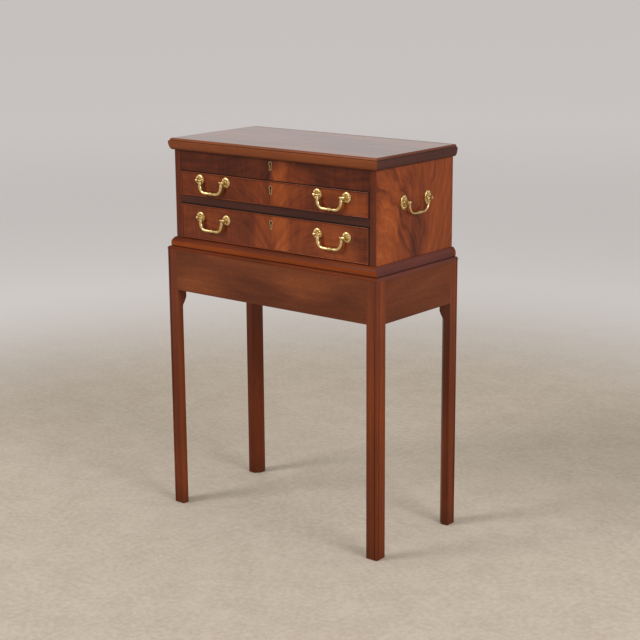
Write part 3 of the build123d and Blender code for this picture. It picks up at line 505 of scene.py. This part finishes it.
def plume(name, seed, middle_z, slope, base, blots, foot=0.0):
    """The slope is how steeply the lines leave the middle. At the foot lies a painted shadow line."""
    finish = Finish(name, french_polish)
    x, y, z = axes_of(finish)
    out, bend = abs(x), 60 * mm
    waver = mottle(finish, place_of(finish), (13.0, 13.0, 17.0), 3.0) - 0.5
    line = z - levelled(finish, out, bend) * (slope * bend) + waver * (30 * mm)
    flame_place = vector(finish, out + seed, y, line)
    ribbon_place = vector(finish, out - seed, y, line)
    feather_place = vector(finish, x + seed, y, z)
    flames = mottle(finish, flame_place, (7.0, 20.0, 85.0), 5.0, 0.62) - 0.5
    ribbons = mottle(finish, ribbon_place, (16.0, 9.0, 30.0), 3.0, 0.55, 0.4) - 0.5
    feather = mottle(finish, feather_place, (95.0, 20.0, 14.0), 3.0, 0.6, 0.3) - 0.5
    streaks, fibres, pores, clouds = timber(finish, vector(finish, out, line, y))
    tone = flames * 0.24 + ribbons * 0.17 + feather * 0.20 + clouds * 0.18 + streaks * 0.16 + base
    # One half is painted a little lighter, a painted sheen.
    tone = tone + step(finish, x, -1.2 * mm, 1.2 * mm) * 0.03
    tone = with_blots(finish, tone, x + waver * (50 * mm), z, middle_z, blots)
    # A painted shadow along the bottom edge, over the gap below the front.
    gap_shadow = step(finish, z, foot + 1.2 * mm, foot + 0.4 * mm) * 0.95
    return polish(finish, tone, fibres, pores, shade=gap_shadow)


false_front_wood = plume("false_front_crotch", 0.31, 863.0, -1.6, 0.315, [
    (26, -4, 26, 34, 0.20), (70, -14, 60, 26, 0.12), (-44, -2, 34, 34, 0.05),
    (-8, -16, 22, 14, -0.06),
], foot=839.0 * mm)
upper_front_wood = plume("upper_front_crotch", 1.27, 809.0, 1.9, 0.465, [
    (-178, 4, 40, 40, 0.05), (-80, 0, 60, 60, -0.03), (-36, 0, 22, 50, 0.05),
    (24, -2, 26, 60, 0.13), (64, 4, 34, 50, 0.04), (118, 4, 26, 50, -0.04),
    (178, 0, 44, 44, 0.06), (246, -12, 44, 34, 0.11),
])
lower_front_wood = plume("lower_front_crotch", 2.63, 719.0, 1.9, 0.49, [
    (-178, 10, 50, 44, 0.04), (-100, 0, 50, 80, -0.04), (-30, -8, 30, 60, 0.08),
    (26, -4, 30, 80, 0.13), (68, 0, 40, 60, 0.04), (178, 4, 50, 60, 0.10),
    (225, -26, 30, 30, 0.05), (268, 6, 34, 50, -0.09),
])

# %% [markdown]
# ### Flame veneer on the ends of the case
# Each end is one leaf stood upright. Broad orange tongues fall from the front edge towards a dark seam
# low down behind the middle, and behind the seam the lines stand nearly upright. The curve used on the
# fronts gives both, with a steeper rise behind the seam. Three dark streaks follow the lines into the
# seam. The front edge of the board is solid wood, with a painted shadow where it meets the drawers.

# %% Case ends
seam_y, end_middle_z = 20 * mm, 770.0
dark_streaks = ((672, 9, 0.13), (640, 7, 0.08), (735, 10, 0.07))
edge_starts, edge_full = -137.5 * mm, -139.2 * mm
arris_unshaded, arris_shaded = 283.8 * mm, 282.9 * mm


def flame_end(name):
    finish = Finish(name, french_polish)
    x, y, z = axes_of(finish)
    waver = mottle(finish, place_of(finish), (9.0, 9.0, 6.0), 3.0, 0.5, 0.8) - 0.5
    from_seam = y - seam_y + waver * (70 * mm)
    behind = step(finish, from_seam, -20 * mm, 20 * mm)
    out = abs(from_seam)
    rise = levelled(finish, out, 110 * mm) * (behind * 0.34 + 0.22)
    line = z - rise + waver * (50 * mm)
    along_line = vector(finish, out, line, x)
    tongues = mottle(finish, along_line, (14.0, 24.0, 6.0), 4.0, 0.58, 0.7) - 0.5
    flames = mottle(finish, along_line, (26.0, 75.0, 20.0), 5.0, 0.60) - 0.5
    upright = mottle(finish, vector(finish, y, z, x), (110.0, 9.0, 20.0), 4.0, 0.6, 0.4) - 0.5
    streaks, fibres, pores, clouds = timber(finish, vector(finish, line, out, x))
    tone = tongues * 0.32 + flames * 0.28 + clouds * 0.12 + streaks * 0.16 + 0.56
    tone = tone + upright * behind * 0.20
    for height, half_thick, depth in dark_streaks:
        from_streak = abs(line + waver * (30 * mm) - height * mm)
        streak = step(finish, from_streak, half_thick * mm, 0.0)
        tone = tone - streak * depth * step(finish, from_seam, 30 * mm, -10 * mm)
    waver_y, waver_z = y + waver * (80 * mm), z + waver * (50 * mm)
    tone = with_blots(finish, tone, waver_y, waver_z, end_middle_z, [
        (14, -52, 26, 80, -0.11), (-104, -40, 44, 90, 0.09), (-100, 70, 60, 40, 0.03),
        (0, 84, 40, 26, -0.06), (112, 20, 34, 90, 0.02), (-40, 10, 24, 60, -0.05),
    ])
    front_edge = step(finish, y, edge_starts, edge_full)
    tone = tone + front_edge * (streaks * 0.3 + 0.40 - tone)
    # A painted shadow on the front edge beside the drawers, where the gap lies in shade.
    gap_shadow = front_edge * step(finish, abs(x), arris_unshaded, arris_shaded) * 0.9
    return polish(finish, tone, fibres, pores, shade=gap_shadow)


end_wood = flame_end("case_end_flame")

# %% [markdown]
# ### The lid's top and the back
# The top is the glossiest face and is seen at a low angle, so it mostly shows the pale room. Its own
# figure is quiet. The back stands to a wall, and was given plainer wood and less polish.

# %% Lid panel and back
top_polish = {"IOR": 1.45, "Coat Weight": 1.0, "Coat Roughness": 0.15, "Coat IOR": 1.5}
top_finish = Finish("lid_top_mahogany", top_polish)
streaks, fibres, pores, clouds = timber(top_finish, grain_place(top_finish, "x"))
swirls = mottle(top_finish, place_of(top_finish), (3.2, 11.0, 5.0), 5.0, 0.58, 1.0) - 0.5
top_tone = streaks * 0.50 + swirls * 0.58 + clouds * 0.20 + 0.56
top_wood = polish(top_finish, top_tone, fibres, pores, roughness=0.34)
back_wood = plain_board("back_mahogany", "x", 0.46, roughness=0.48, plain=satin_polish)

# %% [markdown]
# ### Woods that only show when it is open
# Drawer sides and bottoms are a pale secondary wood, oiled and never polished. Blocks, runners and
# the carcase floor are the same sort of wood, darker with age and dust.

# %% Secondary woods
raw = {"IOR": 1.45, "Specular IOR Level": 0.25}
pale_scale = [(0.30, colour(134, 98, 62)), (0.50, colour(172, 134, 90)), (0.70, colour(196, 162, 114))]
aged_scale = [(0.30, colour(92, 62, 40)), (0.50, colour(124, 90, 58)), (0.70, colour(148, 112, 76))]
drawer_side_wood = plain_board("drawer_side_wood", "y", 0.52, pale_scale, 0.58, raw, 0.3)
drawer_long_wood = plain_board("drawer_long_wood", "x", 0.52, pale_scale, 0.58, raw, 0.3)
carcase_wood = plain_board("carcase_wood", "x", 0.48, aged_scale, 0.62, raw, 0.4)
runner_wood = plain_board("runner_wood", "y", 0.48, aged_scale, 0.62, raw, 0.4)
bottom_wood = plain_board("case_bottom_wood", "x", 0.34, roughness=0.55, plain=satin_polish)

# %% [markdown]
# ## Cast brass
# The handles are cast, filed and polished, then lacquered. Raised places stay bright, and olive-brown
# tarnish stays in the hollows, where no cloth reaches. Ambient occlusion, kept to the piece itself,
# finds those hollows. Fine noise in the normal keeps the shine from looking like plastic. Hinges and
# lock plates are cut from rolled sheet, which is much more even than a casting. The keyhole in a lock
# plate is painted near black inside, a painted shadow, and its rim is worn brown by the key.

# %% Brass
pale_brass, gold_brass = colour(200, 170, 110), colour(224, 196, 140)
# The last colour is the painted shadow inside a keyhole.
olive_tarnish, worn_brown, keyhole_painted_shadow = colour(74, 56, 28), colour(118, 76, 44), colour(10, 8, 7)
keyhole_lip, keyhole_deep = -139.55 * mm, -139.0 * mm


def old_brass(name, dents, pierced=False):
    """Dents are how deep the small unevenness of the surface is. A pierced plate has a keyhole."""
    finish = Finish(name, {"IOR": 1.5})
    place = place_of(finish)
    patches = mottle(finish, place, (90.0, 90.0, 90.0), 3.0, 0.6)
    scratches = mottle(finish, place, (1400.0, 1400.0, 900.0))
    tarnish = (hollows(finish, 3.5 * mm) + (patches - 0.5) * 0.5).larger(0.0).smaller(1.0)
    bright = mix(finish, step(finish, patches, 0.35, 0.70), pale_brass, gold_brass)
    tone = mix(finish, tarnish * 0.85, bright, olive_tarnish)
    metal = 1.0 - tarnish * 0.35
    if pierced:
        _, y, _ = axes_of(finish)
        _, _, looks_up = facing_of(finish)
        # Inside the keyhole the brass is painted near black, a painted shadow.
        inside = step(finish, y, keyhole_lip, keyhole_deep) * step(finish, looks_up, 0.7, 0.4)
        worn = step(finish, patches, 0.30, 0.75) * 0.30 + 0.05
        tone = mix(finish, inside, mix(finish, worn, tone, worn_brown), keyhole_painted_shadow)
        metal = metal * (1.0 - inside)
    return finish.show({
        "Base Color": tone,
        "Metallic": metal,
        "Roughness": patches * 0.16 + tarnish * 0.30 + 0.22,
        "Normal": bump(finish, scratches + patches * 0.4, dents, 0.6),
    })


brass = old_brass("cast_brass", 0.04 * mm)
hinge_brass = old_brass("hinge_brass", 0.006 * mm)
lock_brass = old_brass("lock_brass", 0.012 * mm, pierced=True)

# %% [markdown]
# ## Flannel
# The inside is lined with a brown, napped cloth that keeps silver from tarnishing. Its nap hides the
# weave, so the cloth is short hairs lying every way, with slightly rubbed places, and a soft sheen at
# grazing angles. Three noises, each squeezed along another axis, cross like hairs.

# %% Flannel
nap_sheen = {"Sheen Weight": 0.35, "Sheen Roughness": 0.45, "Sheen Tint": colour(190, 160, 132)}
flannel_scale = [(0.30, colour(62, 39, 24)), (0.50, colour(90, 60, 38)), (0.70, colour(118, 84, 56))]
hair_ways = ((1500.0, 320.0, 320.0), (320.0, 1500.0, 320.0), (320.0, 320.0, 1500.0))

flannel_finish = Finish("brown_flannel", dict(nap_sheen, IOR=1.4))
flannel_place = place_of(flannel_finish)
hairs = sum(mottle(flannel_finish, flannel_place, way) for way in hair_ways) / 3.0
rubbed = mottle(flannel_finish, flannel_place, (16.0, 16.0, 16.0), 4.0, 0.6)
flannel = flannel_finish.show({
    "Base Color": ramp(flannel_finish, hairs * 0.75 + rubbed * 0.25, flannel_scale),
    "Roughness": 0.86 + rubbed * 0.12,
    "Normal": bump(flannel_finish, hairs + rubbed * 0.4, 0.35 * mm, 0.8),
})

# %% [markdown]
# ## Dressing the CAD model
# Each CAD node keeps its mesh and only gets a finish. The grain follows how a joiner would cut that
# board: up the legs and the ends, along the aprons and rails, and from front to back on drawer sides.
# Most nodes are known by how their name starts, and the pieces that repeat by a word in their name.
# The first word that fits decides, so bolt stands before lock: a lock_bolt has both.

# %% Give every node its finish
finish_by_start = {
    "leg_": leg_wood, "apron_front": apron_long, "apron_back": apron_long,
    "apron_left": apron_end, "apron_right": apron_end, "waist_moulding": waist_wood,
    "lid_frame": lid_moulding, "lid_panel": top_wood, "case_side": end_wood,
    "case_back": back_wood, "false_front": false_front_wood, "drawer_rail": rail_wood,
    "case_bottom": bottom_wood, "corner_blocks": runner_wood, "drawer_runners": runner_wood,
    "drawer_kickers": runner_wood, "dust_panel": carcase_wood, "drawer_stops": runner_wood,
    "well_floor": carcase_wood, "upper_drawer_front": upper_front_wood,
    "lower_drawer_front": lower_front_wood,
}
finish_by_word = {
    "cock_bead": bead_wood, "drawer_side": drawer_side_wood, "drawer_back": drawer_long_wood,
    "drawer_bottom": drawer_long_wood, "bail": brass, "posts": brass, "bolt": brass,
    "lock": lock_brass, "hinge": hinge_brass, "link_plate": hinge_brass, "lining": flannel,
    "dividers": flannel,
}


def finish_for(node):
    for start, finish in finish_by_start.items():
        if node.startswith(start):
            return finish
    return next(finish for word, finish in finish_by_word.items() if word in node)


for node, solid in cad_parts.items():
    solid.data.materials.clear()
    solid.data.materials.append(finish_for(node))
print(len(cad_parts), "nodes dressed")

# %% [markdown]
# ## Making a piece
# New pieces are shaped in bmesh and handed over here. The helper closes seams, turns the faces out,
# and makes the piece ride on the CAD body that carries it, so that it moves with its drawer or lid.
# Four small tools shape most of them: a block, rounded edges, cuts that let a face bend, and places
# spread evenly between two ends.

# %% From a bmesh to a piece
weld_distance = 0.005 * mm


def make_piece(name, shape, finish, body, recalc=True):
    """Recalc turns the faces out. An open sheet does without, and keeps the way its faces look."""
    bmesh.ops.remove_doubles(shape, verts=shape.verts, dist=weld_distance)
    if recalc:
        bmesh.ops.recalc_face_normals(shape, faces=shape.faces)
    mesh = bpy.data.meshes.new(name)
    shape.to_mesh(mesh)
    shape.free()
    mesh.polygons.foreach_set("use_smooth", [True] * len(mesh.polygons))
    mesh.materials.append(finish)
    piece = bpy.data.objects.new(name, mesh)
    bpy.context.scene.collection.objects.link(piece)
    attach(piece, body)
    print(name, "has", len(mesh.polygons), "faces and rides on", body)
    return piece


# %% Blocks, round edges and cuts
def add_block(shape, low, high):
    """A box between two corners, from a unit cube. Returns its vertices."""
    corners = bmesh.ops.create_cube(shape, size=1.0)["verts"]
    bmesh.ops.scale(shape, vec=Vector(high) - Vector(low), verts=corners)
    bmesh.ops.translate(shape, vec=(Vector(low) + Vector(high)) / 2, verts=corners)
    return corners


def round_edges(shape, edges, offset, segments):
    bmesh.ops.bevel(
        shape, geom=edges, offset=offset, offset_type="OFFSET", segments=segments, profile=0.5,
        affect="EDGES", material=-1,
    )


def cut_across(shape, axis, places):
    """Cuts the whole shape at each place along an axis, so it can bend there."""
    for place in places:
        point, normal = Vector((0, 0, 0)), Vector((0, 0, 0))
        point[axis], normal[axis] = place, 1.0
        everything = shape.verts[:] + shape.edges[:] + shape.faces[:]
        bmesh.ops.bisect_plane(shape, geom=everything, plane_co=point, plane_no=normal)


def between(low, high, count):
    return [low + (high - low) * (i + 1) / (count + 1) for i in range(count)]


# %% [markdown]
# ## Flannel linings
# The well and both drawers are lined with one cut of cloth each, folded up at the four sides and
# glued. A lining starts as a block without its top. Bevelled folds give the small radius that thick
# cloth keeps in a corner, and slow noise lifts it off the wood by a few tenths of a millimetre.
# Solidify then gives the sheet its thickness.

# %% Lining a box with one cut of cloth
cloth_thick, fold_radius, most_lift = 1.4 * mm, 2.5 * mm, 0.55 * mm
lining_cuts = (70, 32, 5)


def lift_of(place):
    """How far the cloth stands off here, from a slow and a quick noise, 0.05 to 1."""
    lift = 0.5 + 0.5 * noise.noise(place * 26.0) + 0.25 * noise.noise(place * 90.0)
    return min(max(lift, 0.05), 1.0)


def line_box(name, node, body):
    low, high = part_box(node)
    shape = bmesh.new()
    add_block(shape, low, high)
    lids = [face for face in shape.faces if face.normal.z > 0.9]
    bmesh.ops.delete(shape, geom=lids, context="FACES")
    round_edges(shape, [edge for edge in shape.edges if not edge.is_boundary], fold_radius, 3)
    for axis, count in enumerate(lining_cuts):
        cut_across(shape, axis, between(low[axis], high[axis], count))
    shape.normal_update()
    lifts = [lift_of(vert.co) for vert in shape.verts]
    for vert, lift in zip(shape.verts, lifts):
        vert.co -= vert.normal * lift * most_lift
    piece = make_piece(name, shape, flannel, body, recalc=False)
    skin = piece.modifiers.new("cloth", "SOLIDIFY")
    skin.thickness, skin.offset = cloth_thick, -1.0
    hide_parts(node)


line_box("well_flannel", "well_lining", "chest")
line_box("upper_drawer_flannel", "upper_drawer_lining", "upper_drawer")
line_box("lower_drawer_flannel", "lower_drawer_lining", "lower_drawer")

# %% [markdown]
# ## Dividers under cloth
# Knives, forks and spoons lie between slats. Each slat is thin wood with flannel drawn over it, which
# rounds its top. Blocks with their top edges bevelled nearly to the middle give that, and the cross
# slats run into the long one.

# %% Covered dividers
slat_half = 3.5 * mm
slat_rounding = slat_half * 0.92


def cover_slats(name, node, body):
    low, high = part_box(node)
    long_y = low.y + slat_half
    runs = [((low.x, low.y, low.z), (high.x, long_y + slat_half, high.z))]
    for x in (low.x / 2, 0.0, high.x / 2):
        runs.append(((x - slat_half, long_y, low.z), (x + slat_half, high.y, high.z)))
    shape = bmesh.new()
    for start, end in runs:
        tops = [vert for vert in add_block(shape, start, end) if vert.co.z > high.z - mm]
        rim = [edge for edge in shape.edges if all(vert in tops for vert in edge.verts)]
        round_edges(shape, rim, slat_rounding, 5)
    piece = make_piece(name, shape, flannel, body)
    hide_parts(node)


cover_slats("well_slats", "well_dividers", "chest")
cover_slats("upper_drawer_slats", "upper_drawer_dividers", "upper_drawer")

# %% [markdown]
# ## The padded lid
# Inside the lid a pad of wadding under flannel keeps the silver from rattling. The cloth is turned
# under and glued along the rim, and the wadding pushes the rest out. Blender's cloth does the same:
# the back and the rim are held, air pressure stands for the wadding, and a little spare cloth lets it
# pucker along the rim. Each point's move is then eased off, so that it never goes past the room that
# the CAD pad leaves: the middle comes out nearly level and the edges round, as on a wadded board.

# %% Blowing up a pad
def puff(piece, held, pressure, room, spare=0.03, frames=20):
    """Lets pressure push a closed form out. The held points stay, and none moves past the room."""
    group = piece.vertex_groups.new(name="held")
    group.add(held, 1.0, "REPLACE")
    cloth = piece.modifiers.new("cloth", "CLOTH")
    cloth.settings.vertex_group_mass = group.name
    cloth.settings.use_pressure, cloth.settings.uniform_pressure_force = True, pressure
    cloth.settings.effector_weights.gravity = 0.0
    cloth.settings.shrink_min = -spare
    cloth.collision_settings.use_collision = False
    cloth.point_cache.frame_start, cloth.point_cache.frame_end = 1, frames
    for number in range(1, frames + 1):
        bpy.context.scene.frame_set(number)
    puffed = piece.evaluated_get(bpy.context.evaluated_depsgraph_get()).to_mesh()
    moves = [after.co - before.co for before, after in zip(piece.data.vertices, puffed.vertices)]
    for vert, move in zip(piece.data.vertices, moves):
        if move.length > 0:
            vert.co += move.normalized() * room * math.tanh(move.length / room)
    piece.modifiers.remove(cloth)
    piece.vertex_groups.remove(group)
    bpy.context.scene.frame_set(1)
    print(piece.name, "swells by up to", round(room / mm, 2), "mm")


# %% Lid pad
swell, soft_edge = 3.0 * mm, 2.2 * mm
glued_back, glued_rim = 1.2 * mm, 3.0 * mm
pad_cuts = (100, 44)

low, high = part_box("lid_lining")
pad_shape = bmesh.new()
add_block(pad_shape, low + Vector((0, 0, swell)), high)
bottom = next(face for face in pad_shape.faces if face.normal.z < -0.9)
round_edges(pad_shape, bottom.edges[:], soft_edge, 3)
for axis, count in enumerate(pad_cuts):
    cut_across(pad_shape, axis, between(low[axis], high[axis], count))
pad = make_piece("lid_pad", pad_shape, flannel, "lid")


def is_glued(place):
    to_rim = min(place.x - low.x, high.x - place.x, place.y - low.y, high.y - place.y)
    return place.z > high.z - glued_back or to_rim < glued_rim


held = [vert.index for vert in pad.data.vertices if is_glued(vert.co)]
puff(pad, held, pressure=4.0, room=swell * 0.95)
smooth = pad.modifiers.new("smooth", "SUBSURF")
smooth.levels = smooth.render_levels = 1
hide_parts("lid_lining")

# %% [markdown]
# ## Screws in the hinges
# Brass hinges are let in flush and held by countersunk, slotted screws. A head is a disc cut into two
# half moons with the slot between them, and the half moons stand a tenth of a millimetre proud; the
# slot is painted dark, a painted shade. The slots point every way, as hand-driven screws do.

# %% Slotted heads
screw_radius, slot_half, head_proud = 2.2 * mm, 0.38 * mm, 0.1 * mm
first_turn, further_turn = 0.7, 2.1
# The slot is painted in the dark shade colour, a painted shade for its depth.
slot_painted_shade = Finish("slot_painted_shade", {"Base Color": painted_shade_and_wax, "Roughness": 0.9}).material


def slotted_head(place):
    """The mesh of one head, moved to its place. Its half moons have index 0 and its slot 1."""
    disc = bmesh.new()
    bmesh.ops.create_circle(disc, cap_ends=True, segments=24, radius=screw_radius)
    cut_across(disc, 1, (-slot_half, slot_half))
    for face in disc.faces:
        face.material_index = int(abs(face.calc_center_median().y) < slot_half)
    moons = [face for face in disc.faces if face.material_index == 0]
    raised = bmesh.ops.extrude_face_region(disc, geom=moons)["geom"]
    raised = [item for item in raised if isinstance(item, bmesh.types.BMVert)]
    bmesh.ops.translate(disc, vec=Vector((0, 0, head_proud)), verts=raised)
    bmesh.ops.delete(disc, geom=moons, context="FACES_ONLY")
    bmesh.ops.transform(disc, matrix=place, verts=disc.verts)
    head = bpy.data.meshes.new("head")
    disc.to_mesh(head)
    disc.free()
    return head


def screws_on(name, body, spots, up):
    """Heads at the spots, in mm, on a level leaf. up is 1 where it looks up and -1 where down."""
    shape = bmesh.new()
    for number, spot in enumerate(spots):
        turned = Matrix.Rotation(first_turn + further_turn * number, 4, "Z")
        place = Matrix.Translation(Vector(spot) * mm) @ Matrix.Diagonal((1, up, up, 1)) @ turned
        head = slotted_head(place)
        shape.from_mesh(head)
        bpy.data.meshes.remove(head)
    piece = make_piece(name, shape, hinge_brass, body, recalc=False)
    piece.data.polygons.foreach_set("use_smooth", [False] * len(piece.data.polygons))
    piece.data.materials.append(slot_painted_shade)


# %% Three screws in every leaf
hinge_x, leaf_y = 210.5, 146.8
lid_leaf_z, case_leaf_z = 886.99, 886.71
in_leaf = ((-17, 1.2), (0, -1.6), (17, 1.2))
across = [(side * hinge_x + x, leaf_y + y) for side in (-1, 1) for x, y in in_leaf]
screws_on("lid_hinge_screws", "lid", [(x, y, lid_leaf_z) for x, y in across], up=-1)
screws_on("case_hinge_screws", "chest", [(x, y, case_leaf_z) for x, y in across], up=1)

# %% [markdown]
# ## Petals on the rosettes
# Each handle post stands on a rosette cast with a ring of petals: round ones on the drawers, upright
# ovals on the ends. The plate is in the CAD, and the petals are relief. One petal is a flattened ball.
# It is set round the post ten times, each turned to point away from an ellipse's edge.

# %% Ring of petals on one rosette
petal_count, petal_droop = 10, math.radians(8)
petal_size = Vector((3.3, 2.0, 1.15)) * mm


def add_petals(shape, spot, outward, reach, height):
    """A ring whose middle is at spot. The reach is half its width and half its height, in mm."""
    away, upward = Vector(outward), Vector((0, 0, 1))
    facing = Matrix((away.cross(upward), upward, away)).transposed()
    droop = Matrix.Rotation(petal_droop, 3, "Y")
    for i in range(petal_count):
        angle = 2 * math.pi * i / petal_count
        middle = Vector((math.cos(angle) * reach[0], math.sin(angle) * reach[1], height))
        pointing = math.atan2(math.sin(angle) * reach[0], math.cos(angle) * reach[1])
        petal = bmesh.ops.create_icosphere(shape, subdivisions=2, radius=1.0)["verts"]
        bmesh.ops.scale(shape, vec=petal_size, verts=petal)
        turned = facing @ Matrix.Rotation(pointing, 3, "Z") @ droop
        place = Matrix.Translation(Vector(spot) * mm + facing @ (middle * mm)) @ turned.to_4x4()
        bmesh.ops.transform(shape, matrix=place, verts=petal)


def petals_on(name, body, spots, reach, height):
    """The spots are (place, way the plate looks), all on one board."""
    shape = bmesh.new()
    for spot, outward in spots:
        add_petals(shape, spot, outward, reach, height)
    make_piece(name, shape, brass, body)


# %% Petals on both drawers and both ends
post_x, front_y = (-219.75, -137.25, 137.25, 219.75), -139.75
for drawer, post_z in (("upper_drawer", 821.1), ("lower_drawer", 732.1)):
    spots = [((x, front_y, post_z), (0, -1, 0)) for x in post_x]
    petals_on(drawer + "_petals", drawer, spots, reach=(8.6, 8.6), height=2.35)

end_x, end_y, half_bail, end_z = 300.5, 6.25, 45.5, 805.0
spots = [
    ((side * end_x, end_y + half * half_bail, end_z), (side, 0, 0))
    for side in (-1, 1) for half in (-1, 1)
]
petals_on("case_end_petals", "chest", spots, reach=(8.0, 12.6), height=2.5)

# %% [markdown]
# ## Floor
# The chest stands on a pale floor with fine specks, which fades into the colour of a plain wall. A
# disc so wide that its edge is the horizon does for both, and its colour changes with the distance.

# %% Floor
floor_radius = 60.0
floor_shape = bmesh.new()
bmesh.ops.create_circle(floor_shape, cap_ends=True, segments=96, radius=floor_radius)
floor_mesh = bpy.data.meshes.new("floor")
floor_shape.to_mesh(floor_mesh)
floor_shape.free()
floor = bpy.data.objects.new("floor", floor_mesh)
bpy.context.scene.collection.objects.link(floor)

# %% The floor's colour
floor_dark, floor_light = colour(173, 160, 144), colour(188, 176, 160)
wall_near, wall_far = colour(226, 222, 220), colour(252, 248, 247)

floor_finish = Finish("pale_floor", {"Roughness": 0.85, "IOR": 1.3})
floor_x, floor_y, _ = axes_of(floor_finish)
distance = (floor_x ** 2.0 + floor_y ** 2.0) ** 0.5
floor_place = place_of(floor_finish)
blotches = mottle(floor_finish, floor_place, (9.0, 9.0, 9.0), 8.0, 0.85)
grains = mottle(floor_finish, floor_place, (75.0, 75.0, 75.0), 4.0, 0.7)
specks = step(floor_finish, (blotches + grains) / 2.0, 0.38, 0.62)
near_colour = mix(floor_finish, specks, floor_dark, floor_light)
wall_colour = mix(floor_finish, step(floor_finish, distance, 3.0, 9.0), wall_near, wall_far)
to_wall = step(floor_finish, distance, 1.1, 2.8)
floor_mesh.materials.append(floor_finish.show({
    "Base Color": mix(floor_finish, to_wall, near_colour, wall_colour),
}))

# %% [markdown]
# ## Light
# One large soft lamp is up to the left, a weaker one lights the right end, and a pale world fills the
# rest, all at a level at which a colour renders about as it is written. A lamp's spread is narrower
# than half a turn, as with a cloth grid before a studio lamp, so less of it strays over the floor.

# %% Lamps and world
lamp_spread = math.radians(140)


def soft_lamp(name, place, target, width, power):
    lamp = bpy.data.objects.new(name, bpy.data.lights.new(name, "AREA"))
    lamp.data.shape, lamp.data.size, lamp.data.energy = "DISK", width, power
    lamp.data.spread = lamp_spread
    lamp.location = place
    lamp.rotation_euler = (Vector(target) - Vector(place)).to_track_quat("-Z", "Y").to_euler()
    bpy.context.scene.collection.objects.link(lamp)
    print(name, "is", width, "m wide and gives", power, "W")


soft_lamp("left_lamp", (-2.0, -3.4, 3.2), chest_middle, 1.8, 74)
soft_lamp("right_lamp", (3.6, -0.8, 2.4), (0, 0, 0.7), 2.0, 60)

world = bpy.data.worlds.new("room")
bpy.context.scene.world = world
world.use_nodes = True
backdrop = world.node_tree.nodes["Background"]
backdrop.inputs["Color"].default_value = colour(200, 198, 196)
backdrop.inputs["Strength"].default_value = 1.0
bpy.context.scene.view_settings.view_transform = "Standard"
